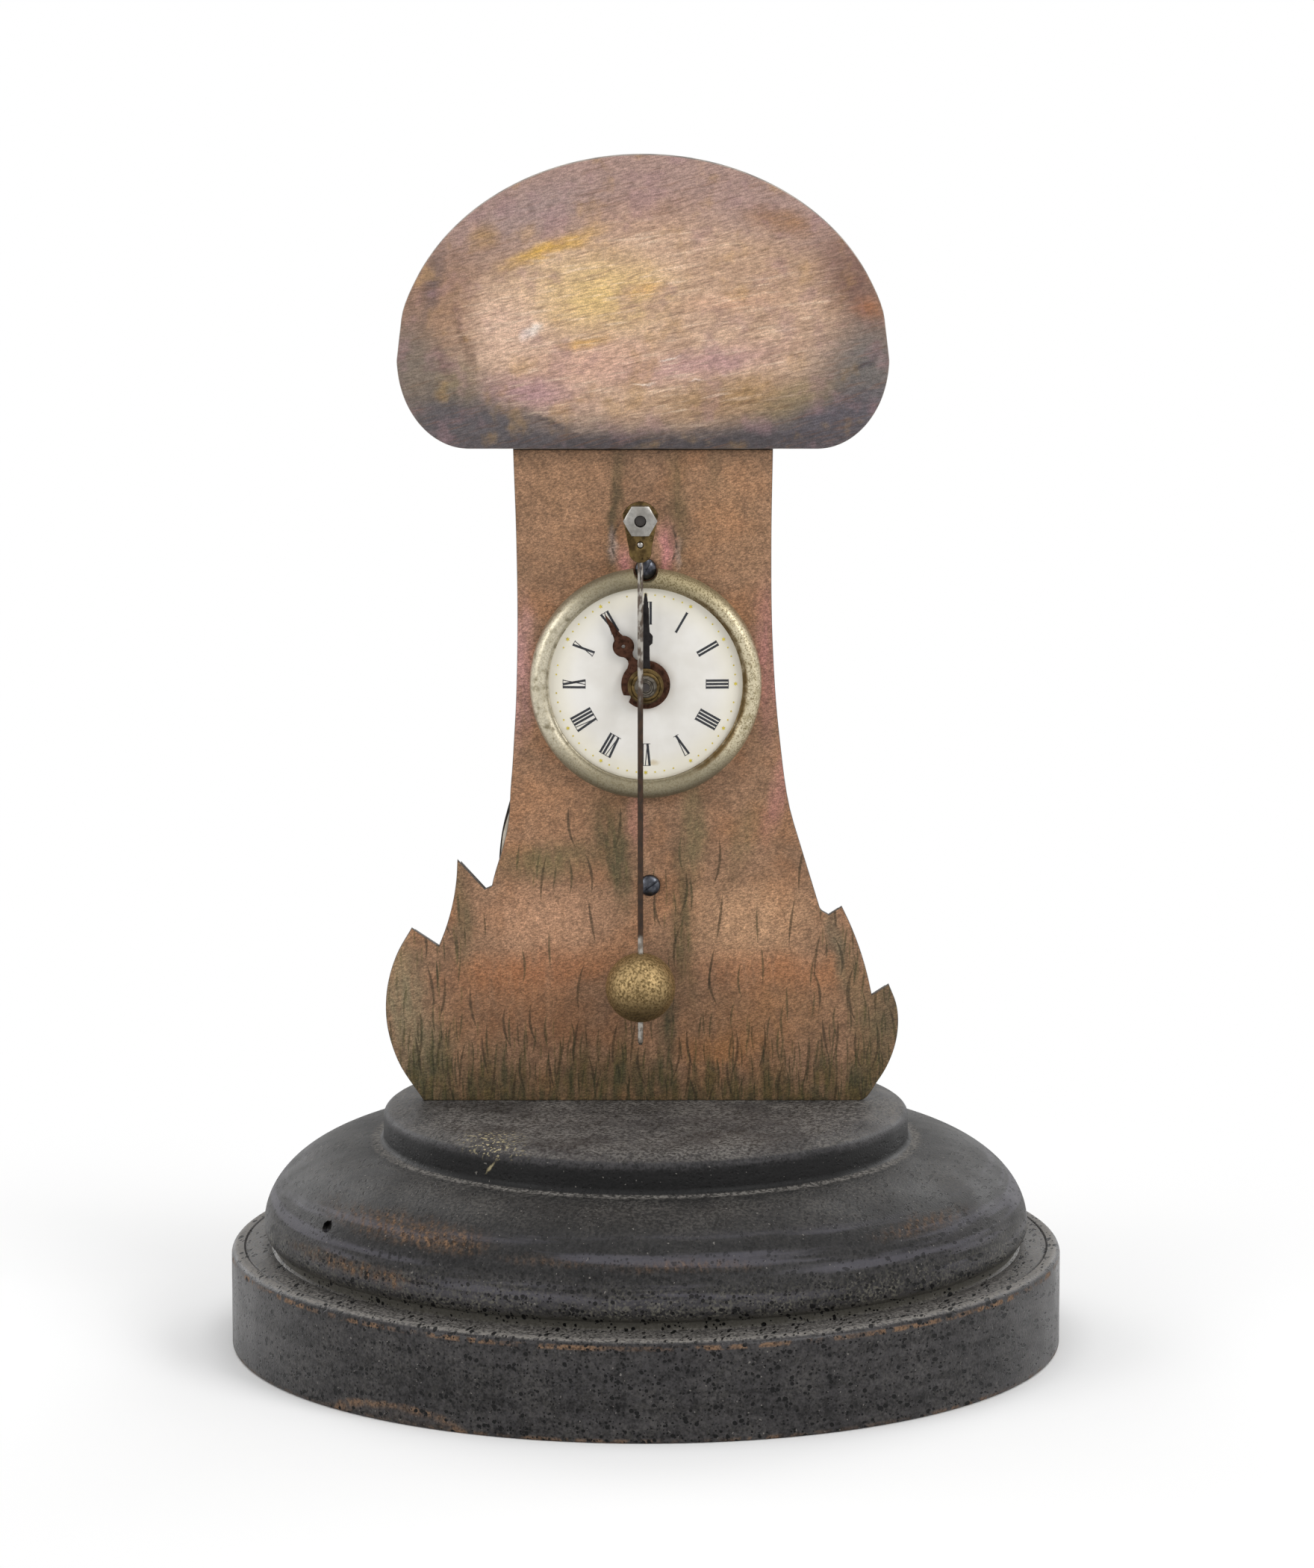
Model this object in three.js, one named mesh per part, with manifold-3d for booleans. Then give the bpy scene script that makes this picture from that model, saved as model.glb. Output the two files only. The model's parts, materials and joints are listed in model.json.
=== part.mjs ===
// A miniature table clock with a front pendulum: a turned base, a painted mushroom front, an open movement.
// Millimetres, +Z up. The origin is the centre of the base's underside, and the dial faces -Y.
import * as THREE from 'three';
import { mergeVertices } from 'three/addons/utils/BufferGeometryUtils.js';
import Module from 'manifold-3d';

const wasm = await Module();
wasm.setup();

// Clearances
const RUN_CLEARANCE = 0.06;
const FIT_CLEARANCE = 0.15;
const SEAT_GAP = 0.05;
const OVERCUT = 1;

// Turned base
const BASE_RADIUS = 64.3;
const PLINTH_HEIGHT = 15.4;
const PLINTH_FOOT_ROUND = 0.4;
const PLINTH_EDGE_ROUND = 1.5;
const LEDGE_WIDTH = 6.6;
const RECESS_HEIGHT = 1.3;
const OVOLO_OVERHANG = 1.5;
const OVOLO_LIP = 2.2;
const OVOLO_RISE = 12.9;
const DRUM_RADIUS = 40.6;
const DRUM_FOOT_COVE = 1.1;
const DRUM_HEIGHT = 6;
const DRUM_EDGE_WIDTH = 5;
const DRUM_EDGE_DROP = 1;
const DRUM_EDGE_ROUND = 0.6;
const BASE_SEGMENTS = 40;

// Painted front, measured from the top of the drum
const BACKING_THICKNESS = 1;
const BACKING_INSET = 0.5;
const TENON_HALF_WIDTH = 25;
const TENON_DEPTH = 9;
const STEM_THICKNESS = 1.2;
const STEM_HEIGHT = 101.3;
const STEM_TOP_LEFT = -20.2;
const STEM_TOP_RIGHT = 19.4;
const STEM_FOOT_LEFT = [-23.7, 33.7];
const STEM_FOOT_RIGHT = [26.8, 30.3];
const STEM_WAIST_HIGH = 78;
const STEM_WAIST_LOW = 51;
const STEM_WAIST_NARROWING = 0.9;
const GRASS_FOOT_LEFT = -34.4;
const GRASS_FOOT_RIGHT = 33;
const BLADE_NOTCH_LEFT = [-24.8, 33.2];
const BLADE_TIP_LEFT = [-29, 37.8];
const BLADE_BEND_LEFT = [-29.1, 30.8];
const TUFT_NOTCH_LEFT = [-31.9, 24.3];
const TUFT_TIP_LEFT = [-36.1, 27.1];
const TUFT_BEND_HIGH_LEFT = [-40.3, 21.1];
const TUFT_BEND_LOW_LEFT = [-43.3, 10.8];
const BLADE_NOTCH_RIGHT = [28.2, 29.2];
const BLADE_TIP_RIGHT = [30.2, 30.5];
const BLADE_BEND_RIGHT = [33.5, 24];
const TUFT_NOTCH_RIGHT = [34.9, 16.6];
const TUFT_TIP_RIGHT = [37.5, 18.3];
const TUFT_BEND_HIGH_RIGHT = [40.7, 12.8];
const TUFT_BEND_LOW_RIGHT = [38.6, 4.6];
const CAP_THICKNESS = 2.2;
const CAP_CENTRE = -0.4;
const CAP_HALF_WIDTH = 37.6;
const CAP_FLAT_HALF = 26.5;
const CAP_LOWER_HEIGHT = 13.9;
const CAP_DOME_HEIGHT = 31.2;
const CAP_SEAM = 0.2;

// Dial and bezel, centred on the centre arbor
const DIAL_BELOW_CAP = 35.9;
const DIAL_RADIUS = 15.2;
const DIAL_THICKNESS = 1;
const DIAL_DOME = 0.7;
const DIAL_RIM_WIDTH = 2.4;
const BEZEL_RADIUS = 17.75;
const BEZEL_OPENING = 14.85;
const BEZEL_DEPTH = 2.8;
const BEZEL_LIP = 0.7;
const BEZEL_CREST = 16.5;
const BEZEL_EDGE = 1.1;
const MOTION_WELL_RADIUS = 12.4;

// Mounting screws
const UPPER_SCREW = [0, 17.6];
const LOWER_SCREW = [0.6, -31.5];
const MOUNT_HEAD_RADIUS = 1.65;
const MOUNT_HEAD_HEIGHT = 1.2;
const MOUNT_SHANK_RADIUS = 0.8;
const NOTCH_CLEARANCE = 0.2;

// Movement frame
const PLATE_THICKNESS = 1.4;
const PLATE_WIDTH = 33;
const PLATE_TOP = 29.6;
const PLATE_BOTTOM = -34.6;
const PLATE_CORNER = 3;
const PILLAR_LENGTH = 14;
const PILLAR_RADIUS = 1.7;
const PILLAR_SHOULDER = 2.2;
const PILLAR_STUB_RADIUS = 1;
const PILLAR_INSET = 3.2;
const NUT_WIDTH = 3.8;
const NUT_THICKNESS = 1.5;

// Going train: teeth, leaves and modules
const BARREL_TEETH = 56;
const CENTRE_LEAVES = 7;
const BARREL_MODULE = 0.45;
const CENTRE_TEETH = 84;
const THIRD_LEAVES = 6;
const CENTRE_MODULE = 0.25;
const THIRD_TEETH = 80;
const ESCAPE_LEAVES = 6;
const THIRD_MODULE = 0.22;
const THIRD_DIRECTION = 55;
const ESCAPE_TEETH = 36;
const ESCAPE_RADIUS = 6.2;
const ESCAPE_TOOTH_DEPTH = 1.2;
const ESCAPE_TOOTH_LEAN = 0.35;

// Motion work: teeth, leaves and module
const CANNON_LEAVES = 10;
const MINUTE_TEETH = 30;
const MINUTE_LEAVES = 8;
const HOUR_TEETH = 32;
const MOTION_MODULE = 0.3;
const MINUTE_DIRECTION = 205;

// Tooth form, in modules, and tooth widths as shares of the pitch
const WHEEL_ADDENDUM = 0.9;
const WHEEL_DEDENDUM = 1.8;
const WHEEL_TIP_SHARE = 0.24;
const LEAF_ADDENDUM = 0.6;
const LEAF_DEDENDUM = 1.4;
const LEAF_TIP_SHARE = 0.12;
const LEAF_ROOT_SHARE = 0.36;

// Wheels and arbors
const PIVOT_RADIUS = 0.4;
const ARBOR_RADIUS = 0.6;
const CENTRE_ARBOR_RADIUS = 0.9;
const HAND_ARBOR_RADIUS = 0.6;
const WHEEL_THICKNESS = 0.8;
const THIRD_WHEEL_THICKNESS = 1;
const ESCAPE_WHEEL_THICKNESS = 0.5;
const MOTION_WHEEL_THICKNESS = 0.6;
const PINION_OVERHANG = 0.6;
const RIM_WIDTH = 1.1;
const ESCAPE_RIM_WIDTH = 0.8;
const HUB_RADIUS = 2;
const SPOKE_WIDTH = 1;
const SPOKES = 4;
const ESCAPE_HUB_RADIUS = 1.5;
const END_PLAY = 0.25;
const TRAIN_GAP = 1.4;
const MOTION_GAP = 0.35;

// Barrel, mainspring and winding work
const BARREL_DRUM_RADIUS = 11.4;
const BARREL_WALL = 0.7;
const BARREL_FLOOR = 1;
const BARREL_DEPTH = 7.4;
const BARREL_COVER = 0.8;
const BARREL_CORE_RADIUS = 2.6;
const BARREL_SHAFT_RADIUS = 1.5;
const SPRING_THICKNESS = 0.4;
const SPRING_TURNS = 5;
const SPRING_STEPS = 12;
const SPRING_SIDE_GAP = 0.3;
const SQUARE_WIDTH = 2;
const SQUARE_LENGTH = 6.5;
const RATCHET_TEETH = 20;
const RATCHET_RADIUS = 5.2;
const RATCHET_TOOTH_DEPTH = 0.8;
const RATCHET_THICKNESS = 1;
const RATCHET_LEAN = 0.9;
const CLICK_DISTANCE = 9.4;
const CLICK_DIRECTION = 150;
const CLICK_TIP_DIRECTION = 92;
const CLICK_CLEARANCE = 0.3;
const CLICK_HUB_RADIUS = 1.7;
const CLICK_TIP_WIDTH = 1;
const CLICK_ROOT_HIGH = 1.6;
const CLICK_ROOT_LOW = 0.35;
const CLICK_SPRING_THICKNESS = 0.4;
const CLICK_SPRING_FOOT = 1.6;
const CLICK_SPRING_RISE = 5;
const SMALL_HEAD_RADIUS = 1.3;
const SMALL_HEAD_HEIGHT = 0.8;
const SMALL_SHANK_RADIUS = 0.6;

// Anchor, pallet arbor and cock
const PALLET_OFFSET = -0.8;
const PALLET_HEIGHT = 26.1;
const PALLET_SPAN_TEETH = 10.5;
const PALLET_SWING = 6;
const PALLET_CLEARANCE = 0.25;
const ANCHOR_THICKNESS = 1.4;
const ANCHOR_HUB = 1.7;
const ANCHOR_SHOULDER = [1.3, 1];
const PALLET_WIDTH = 1;
const PALLET_DEPTH = 1.9;
const PALLET_SLOPE = 0.4;
const PALLET_ARBOR_RADIUS = 0.8;
const PALLET_COLLAR_RADIUS = 1.5;
const PALLET_COLLAR_LENGTH = 1.2;
const PALLET_HOLE_RADIUS = 1.8;
const COCK_THICKNESS = 1.1;
const COCK_STANDOFF = 1.6;
const COCK_NUT_GAP = 0.8;
const COCK_FLANGE = 3.6;
const COCK_HEIGHT = 4.6;

// Hands
const HAND_THICKNESS = 0.35;
const HAND_GAP = 0.6;
const CANNON_WALL = 0.4;
const HOUR_PIPE_WALL = 0.4;
const SHOWN_HOUR = 11;
const HOUR_HUB_RADIUS = 3.75;
const HOUR_HAND_LENGTH = 12.4;
const HOUR_RING_PLACE = 6.8;
const HOUR_RING_RADIUS = 1.6;
const HOUR_RING_HOLE = 0.5;
const HOUR_ROOT_WIDTH = 1.8;
const HOUR_NECK_WIDTH = 1.05;
const HOUR_SHOULDER_PLACE = 8.8;
const HOUR_SHOULDER_WIDTH = 1.25;
const MINUTE_HUB_RADIUS = 2.2;
const MINUTE_HAND_LENGTH = 14.2;
const MINUTE_ROOT_WIDTH = 1.3;
const MINUTE_NECK_WIDTH = 1.1;
const MINUTE_BULGE_PLACE = 7.1;
const MINUTE_BULGE_WIDTH = 2.1;
const MINUTE_BULGE_LENGTH = 1;
const MINUTE_BULGE_SLOPE = 0.5;
const MINUTE_BLADE_WIDTH = 1;
const MINUTE_SHOULDER_PLACE = 11.8;
const HAND_TIP_WIDTH = 0.6;
const COLLET_RADIUS = 2.75;
const COLLET_THICKNESS = 0.7;
const HAND_NUT_RADIUS = 1.7;
const HAND_NUT_THICKNESS = 0.7;
const ARBOR_END = 0.3;

// Pendulum
const PENDULUM_CLEARANCE = 1.2;
const PENDULUM_LENGTH = 72.3;
const ROD_RADIUS = 0.42;
const ROD_BELOW_BOB = 3.6;
const ROD_EYE_RADIUS = 1.1;
const ROD_EYE_THICKNESS = 0.6;
const CRUTCH_THICKNESS = 0.8;
const CRUTCH_TOP_RADIUS = 2.75;
const CRUTCH_FOOT_RADIUS = 1.75;
const CRUTCH_LENGTH = 4.8;
const CRUTCH_PIN_DROP = 3.8;
const CRUTCH_PIN_RADIUS = 0.45;
const CRUTCH_NUT_WIDTH = 4.5;
const CRUTCH_NUT_THICKNESS = 1.8;
const BOB_RADIUS = 5.35;

// Facets
const FINE = 28;
const ROUND = 16;
const SMALL = 12;
const TINY = 8;
const CURVE_STEPS = 5;
const EDGE_STEPS = 2;
const DOME_STEPS = 3;
const OVOLO_STEPS = 6;
const CRUTCH_STEPS = 8;
const BALL_STEPS = 10;
const CAP_STEPS = 8;
const SPOKE_STEPS = 2;

// Heights and depths that follow from the sizes above
const ovoloFoot = PLINTH_HEIGHT + RECESS_HEIGHT;
const ovoloWidest = ovoloFoot + OVOLO_LIP;
const ovoloTop = ovoloWidest + OVOLO_RISE;
const baseHeight = ovoloTop + DRUM_HEIGHT;
const dialHeight = STEM_HEIGHT - DIAL_BELOW_CAP;
const stemFront = -STEM_THICKNESS;
const plateFront = BACKING_THICKNESS;
const plateBack = plateFront + PLATE_THICKNESS;
const rearPlateFront = plateBack + PILLAR_LENGTH;
const rearPlateBack = rearPlateFront + PLATE_THICKNESS;
const dialFront = stemFront - DIAL_THICKNESS - DIAL_DOME;
const hourHandBack = dialFront - HAND_GAP;
const hourHandFront = hourHandBack - HAND_THICKNESS;
const minuteHandBack = hourHandFront - HAND_GAP;
const minuteHandFront = minuteHandBack - HAND_THICKNESS;
const colletFront = minuteHandFront - COLLET_THICKNESS;
const handNutFront = colletFront - HAND_NUT_THICKNESS;
const centreArborFront = handNutFront - ARBOR_END;
const rodDepth = centreArborFront - PENDULUM_CLEARANCE - ROD_RADIUS;
const crutchBack = rodDepth - ROD_RADIUS - SEAT_GAP;
const crutchFront = crutchBack - CRUTCH_THICKNESS;
const crutchNutFront = crutchFront - CRUTCH_NUT_THICKNESS;
const cannonBack = plateFront - MOTION_GAP;
const cannonFront = cannonBack - MOTION_WHEEL_THICKNESS;
const hourWheelBack = cannonFront - MOTION_GAP;
const hourWheelFront = hourWheelBack - MOTION_WHEEL_THICKNESS;
const barrelFront = plateBack + END_PLAY * 3;
const barrelFloorBack = barrelFront + BARREL_FLOOR;
const barrelCoverFront = barrelFront + BARREL_DEPTH;
const barrelBack = barrelCoverFront + BARREL_COVER;
const centreWheelFront = barrelBack + TRAIN_GAP;
const centreWheelBack = centreWheelFront + WHEEL_THICKNESS;
const escapeWheelFront = plateBack + TRAIN_GAP + PINION_OVERHANG;
const escapeWheelBack = escapeWheelFront + ESCAPE_WHEEL_THICKNESS;
const thirdWheelFront = escapeWheelBack + TRAIN_GAP + PINION_OVERHANG;
const thirdWheelBack = thirdWheelFront + THIRD_WHEEL_THICKNESS;
const ratchetFront = rearPlateBack + END_PLAY;
const ratchetBack = ratchetFront + RATCHET_THICKNESS;
const cockFront = rearPlateBack + COCK_STANDOFF;
const cockBack = cockFront + COCK_THICKNESS;
const cannonPipeRadius = HAND_ARBOR_RADIUS + RUN_CLEARANCE + CANNON_WALL;
const hourPipeRadius = cannonPipeRadius + RUN_CLEARANCE + HOUR_PIPE_WALL;

// Places of the arbors, as x and z from the centre arbor
const radians = THREE.MathUtils.degToRad;
const pitchRadius = (teeth, module) => (teeth * module) / 2;
const meshDistance = (teeth, leaves, module) => pitchRadius(teeth + leaves, module);
const polar = (distance, degrees) => [
  distance * Math.cos(radians(degrees)),
  distance * Math.sin(radians(degrees)),
];
const bearing = (from, to) => Math.atan2(to[1] - from[1], to[0] - from[0]);
const centrePlace = [0, 0];
const barrelPlace = [0, -meshDistance(BARREL_TEETH, CENTRE_LEAVES, BARREL_MODULE)];
const thirdPlace = polar(meshDistance(CENTRE_TEETH, THIRD_LEAVES, CENTRE_MODULE), THIRD_DIRECTION);
const palletPlace = [PALLET_OFFSET, PALLET_HEIGHT];
const escapeReach = meshDistance(THIRD_TEETH, ESCAPE_LEAVES, THIRD_MODULE);
const escapeRise = Math.sqrt(escapeReach ** 2 - (thirdPlace[0] - PALLET_OFFSET) ** 2);
const escapePlace = [PALLET_OFFSET, thirdPlace[1] + escapeRise];
const minutePlace = polar(meshDistance(MINUTE_TEETH, CANNON_LEAVES, MOTION_MODULE), MINUTE_DIRECTION);
const clickPlace = polar(CLICK_DISTANCE, CLICK_DIRECTION).map((value, i) => value + barrelPlace[i]);
const clickSpringPlace = [clickPlace[0] - CLICK_HUB_RADIUS, clickPlace[1] + CLICK_SPRING_RISE];
const pillarX = PLATE_WIDTH / 2 - PILLAR_INSET;
const pillarPlaces = [
  ['upper_left', -pillarX, PLATE_TOP - PILLAR_INSET],
  ['upper_right', pillarX, PLATE_TOP - PILLAR_INSET],
  ['lower_left', -pillarX, PLATE_BOTTOM + PILLAR_INSET],
  ['lower_right', pillarX, PLATE_BOTTOM + PILLAR_INSET],
];
const cockEnd = pillarX - NUT_WIDTH / Math.sqrt(3) - COCK_NUT_GAP - Math.abs(PALLET_OFFSET);
const cockScrewX = cockEnd - COCK_FLANGE / 2;
const cockScrewPlaces = [
  ['left', PALLET_OFFSET - cockScrewX, PALLET_HEIGHT],
  ['right', PALLET_OFFSET + cockScrewX, PALLET_HEIGHT],
];

// Materials
const finish = (color, roughness, metalness) =>
  new THREE.MeshStandardMaterial({ color, roughness, metalness });
const EBONISED_OAK = finish(0x2b2a28, 0.6, 0);
const DARK_METAL = finish(0x2a2722, 0.6, 0.7);
const PAINTED_STEM = finish(0xb39a7c, 0.75, 0);
const PAINTED_CAP = finish(0xb0967f, 0.7, 0);
const WORN_GILT = finish(0xa39a85, 0.4, 0.9);
const ENAMEL = finish(0xeceae4, 0.15, 0);
const BLUED_STEEL = finish(0x1d2430, 0.35, 0.9);
const RUSTY_STEEL = finish(0x5a4433, 0.7, 0.6);
const BRASS = finish(0xb08d4a, 0.35, 1);
const STEEL = finish(0x8b8b88, 0.35, 1);
const OLD_BRASS = finish(0x6a5a3e, 0.5, 0.9);

// Closed solids, cuts and joins
function toSolid(geometry) {
  const bare = new THREE.BufferGeometry();
  bare.setAttribute('position', geometry.getAttribute('position'));
  bare.setIndex(geometry.index);
  const merged = mergeVertices(bare);
  const points = merged.getAttribute('position');
  const corners = [0, 1, 2].map(() => new THREE.Vector3());
  const faces = [];
  let volume = 0;
  for (let i = 0; i < merged.index.count; i += 3) {
    const [a, b, c] = [0, 1, 2].map((k) => merged.index.getX(i + k));
    if (a === b || b === c || c === a) continue;
    [a, b, c].forEach((index, k) => corners[k].fromBufferAttribute(points, index));
    volume += corners[0].dot(corners[1].clone().cross(corners[2]));
    faces.push([a, b, c]);
  }
  const outward = volume > 0 ? faces : faces.map(([a, b, c]) => [a, c, b]);
  return new wasm.Manifold(
    new wasm.Mesh({
      numProp: 3,
      vertProperties: new Float32Array(points.array),
      triVerts: new Uint32Array(outward.flat()),
    }),
  );
}

function toGeometry(solid) {
  const { vertProperties, triVerts } = solid.getMesh();
  const geometry = new THREE.BufferGeometry();
  geometry.setAttribute('position', new THREE.BufferAttribute(vertProperties, 3));
  geometry.setIndex(new THREE.BufferAttribute(triVerts, 1));
  const faceted = geometry.toNonIndexed();
  faceted.computeVertexNormals();
  return faceted;
}

function addPiece(group, name, solid, material, place = centrePlace) {
  const mesh = new THREE.Mesh(toGeometry(solid), material);
  mesh.name = name;
  mesh.position.set(place[0], 0, place[1]);
  group.add(mesh);
}

// A flat piece: an outline in x and z, from its front depth to its back depth
function slab(shape, front, back, curveSegments = CURVE_STEPS) {
  const geometry = new THREE.ExtrudeGeometry(shape, {
    depth: back - front,
    bevelEnabled: false,
    curveSegments,
  });
  geometry.rotateX(Math.PI / 2);
  geometry.translate(0, back, 0);
  return toSolid(geometry);
}

// A turned piece: a profile of radius and depth, about the Y axis
function turned(profile, segments) {
  const points = profile.map(([radius, depth]) => new THREE.Vector2(radius, depth));
  return toSolid(new THREE.LatheGeometry(points, segments));
}

// A turned piece that stands upright, with heights in place of depths
function turnedUpright(profile, segments) {
  const points = profile.map(([radius, height]) => new THREE.Vector2(radius, height));
  return toSolid(new THREE.LatheGeometry(points, segments).rotateX(Math.PI / 2));
}

// A plain ring about the Y axis
function ring(inner, outer, front, back, segments) {
  return turned([[inner, front], [outer, front], [outer, back], [inner, back], [inner, front]], segments);
}

// A plain rod about the Y axis
function rod(radius, front, back, segments) {
  return turned([[0, front], [radius, front], [radius, back], [0, back]], segments);
}

// A round cutter that goes right through between two depths
function drill(radius, front, back, segments) {
  return rod(radius, front - OVERCUT, back + OVERCUT, segments);
}

// A quarter of an ellipse or any other stretch of it, as profile points
function ellipseArc(centre, radii, fromDegrees, toDegrees, steps) {
  return Array.from({ length: steps + 1 }, (_, i) => {
    const angle = radians(fromDegrees + ((toDegrees - fromDegrees) * i) / steps);
    return [centre[0] + radii[0] * Math.cos(angle), centre[1] + radii[1] * Math.sin(angle)];
  });
}

function polygon(points) {
  return new THREE.Shape(points.map(([x, z]) => new THREE.Vector2(x, z)));
}

// A round hole with an even number of sides that lets a rod of this radius through
function roundHole(place, radius, sides = SMALL) {
  const points = Array.from({ length: sides }, (_, i) => {
    const angle = (2 * Math.PI * i) / sides;
    return new THREE.Vector2(place[0] + radius * Math.cos(angle), place[1] + radius * Math.sin(angle));
  });
  return new THREE.Path(points);
}

function hexagon(acrossFlats, boreRadius) {
  const corner = acrossFlats / Math.sqrt(3);
  const shape = polygon(Array.from({ length: 6 }, (_, i) => polar(corner, 60 * i)));
  shape.holes.push(roundHole(centrePlace, boreRadius));
  return shape;
}

// A wheel's outline, with the middle of one tooth at the angle phase
function wheelOutline(teeth, module, phase) {
  const step = (2 * Math.PI) / teeth;
  const tip = pitchRadius(teeth, module) + WHEEL_ADDENDUM * module;
  const root = pitchRadius(teeth, module) - WHEEL_DEDENDUM * module;
  const points = [];
  for (let i = 0; i < teeth; i += 1) {
    const middle = phase + i * step;
    const half = (step * WHEEL_TIP_SHARE) / 2;
    points.push([tip * Math.cos(middle - half), tip * Math.sin(middle - half)]);
    points.push([tip * Math.cos(middle + half), tip * Math.sin(middle + half)]);
    points.push([root * Math.cos(middle + step / 2), root * Math.sin(middle + step / 2)]);
  }
  return polygon(points);
}

const leafRoot = (leaves, module) => pitchRadius(leaves, module) - LEAF_DEDENDUM * module;

// A pinion's outline, with the middle of one gap at the angle phase
function pinionOutline(leaves, module, phase) {
  const step = (2 * Math.PI) / leaves;
  const tip = pitchRadius(leaves, module) + LEAF_ADDENDUM * module;
  const root = leafRoot(leaves, module);
  const points = [];
  for (let i = 0; i < leaves; i += 1) {
    const middle = phase + (i + 0.5) * step;
    const rising = [[root, -LEAF_ROOT_SHARE], [tip, -LEAF_TIP_SHARE]];
    const falling = [[tip, LEAF_TIP_SHARE], [root, LEAF_ROOT_SHARE]];
    [...rising, ...falling].forEach(([radius, share]) => {
      const angle = middle + (share * step) / 2;
      points.push([radius * Math.cos(angle), radius * Math.sin(angle)]);
    });
  }
  return polygon(points);
}

// The openings between a wheel's spokes
function crossOut(shape, inner, outer) {
  const innerHalf = Math.asin(SPOKE_WIDTH / 2 / inner);
  const outerHalf = Math.asin(SPOKE_WIDTH / 2 / outer);
  for (let i = 0; i < SPOKES; i += 1) {
    const start = (2 * Math.PI * i) / SPOKES;
    const end = (2 * Math.PI * (i + 1)) / SPOKES;
    const opening = new THREE.Path();
    opening.absarc(0, 0, outer, start + outerHalf, end - outerHalf, false);
    opening.absarc(0, 0, inner, end - innerHalf, start + innerHalf, true);
    opening.closePath();
    shape.holes.push(opening);
  }
}

function crossedWheel(teeth, module, phase, front, back, boreRadius) {
  const shape = wheelOutline(teeth, module, phase);
  const rimInner = pitchRadius(teeth, module) - WHEEL_DEDENDUM * module - RIM_WIDTH;
  crossOut(shape, HUB_RADIUS, rimInner);
  shape.holes.push(roundHole(centrePlace, boreRadius));
  return slab(shape, front, back, SPOKE_STEPS);
}

// An arbor between the two plates with a pinion cut on it
function pinionArbor(leaves, module, phase, pinionFront, pinionBack) {
  const core = leafRoot(leaves, module);
  const bodyFront = plateBack + END_PLAY;
  const bodyBack = rearPlateFront - END_PLAY;
  const shaft = turned(
    [
      [0, plateFront + SEAT_GAP],
      [PIVOT_RADIUS, plateFront + SEAT_GAP],
      [PIVOT_RADIUS, bodyFront],
      [ARBOR_RADIUS, bodyFront],
      [ARBOR_RADIUS, pinionFront],
      [core, pinionFront],
      [core, pinionBack],
      [ARBOR_RADIUS, pinionBack],
      [ARBOR_RADIUS, bodyBack],
      [PIVOT_RADIUS, bodyBack],
      [PIVOT_RADIUS, rearPlateBack],
      [0, rearPlateBack],
    ],
    TINY,
  );
  return shaft.add(slab(pinionOutline(leaves, module, phase), pinionFront, pinionBack));
}

function screw(headRadius, headHeight, shankRadius, seat, end, segments) {
  const towardsHead = Math.sign(seat - end);
  const dome = ellipseArc([0, seat], [headRadius, towardsHead * headHeight], 90, 0, DOME_STEPS);
  return turned([...dome, [shankRadius, seat], [shankRadius, end], [0, end]], segments);
}

// Turned base with a slot for the front's tenon
function turnedBase() {
  const recessRadius = BASE_RADIUS - LEDGE_WIDTH;
  const ovoloInner = DRUM_RADIUS + DRUM_FOOT_COVE;
  const ovoloRadius = recessRadius + OVOLO_OVERHANG;
  const edge = PLINTH_EDGE_ROUND;
  const drumEdgeTop = baseHeight - DRUM_EDGE_DROP;
  const profile = [
    [0, 0],
    [BASE_RADIUS - PLINTH_FOOT_ROUND, 0],
    [BASE_RADIUS, PLINTH_FOOT_ROUND],
    ...ellipseArc([BASE_RADIUS - edge, PLINTH_HEIGHT - edge], [edge, edge], 0, 90, EDGE_STEPS),
    [recessRadius, PLINTH_HEIGHT],
    [recessRadius, ovoloFoot],
    ...ellipseArc([recessRadius, ovoloWidest], [OVOLO_OVERHANG, OVOLO_LIP], -50, 0, 1),
    ...ellipseArc([ovoloInner, ovoloWidest], [ovoloRadius - ovoloInner, OVOLO_RISE], 16, 90, OVOLO_STEPS),
    ...ellipseArc([ovoloInner, ovoloTop + DRUM_FOOT_COVE], [DRUM_FOOT_COVE, DRUM_FOOT_COVE], 225, 180, 1),
    [DRUM_RADIUS, drumEdgeTop - DRUM_EDGE_ROUND],
    [DRUM_RADIUS - DRUM_EDGE_ROUND, drumEdgeTop],
    [DRUM_RADIUS - DRUM_EDGE_WIDTH, baseHeight],
    [0, baseHeight],
  ];
  const slot = new THREE.BoxGeometry(
    2 * (TENON_HALF_WIDTH + FIT_CLEARANCE),
    BACKING_THICKNESS + 2 * FIT_CLEARANCE,
    2 * (TENON_DEPTH + FIT_CLEARANCE),
  );
  slot.translate(0, BACKING_THICKNESS / 2, baseHeight);
  return turnedUpright(profile, BASE_SEGMENTS).subtract(toSolid(slot));
}

// The outline of the front, drawn in by an inset that keeps a backing piece out of sight
const drawnIn = ([x, z], inset) => [x - Math.sign(x) * inset, Math.max(z - inset, 0)];

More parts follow.
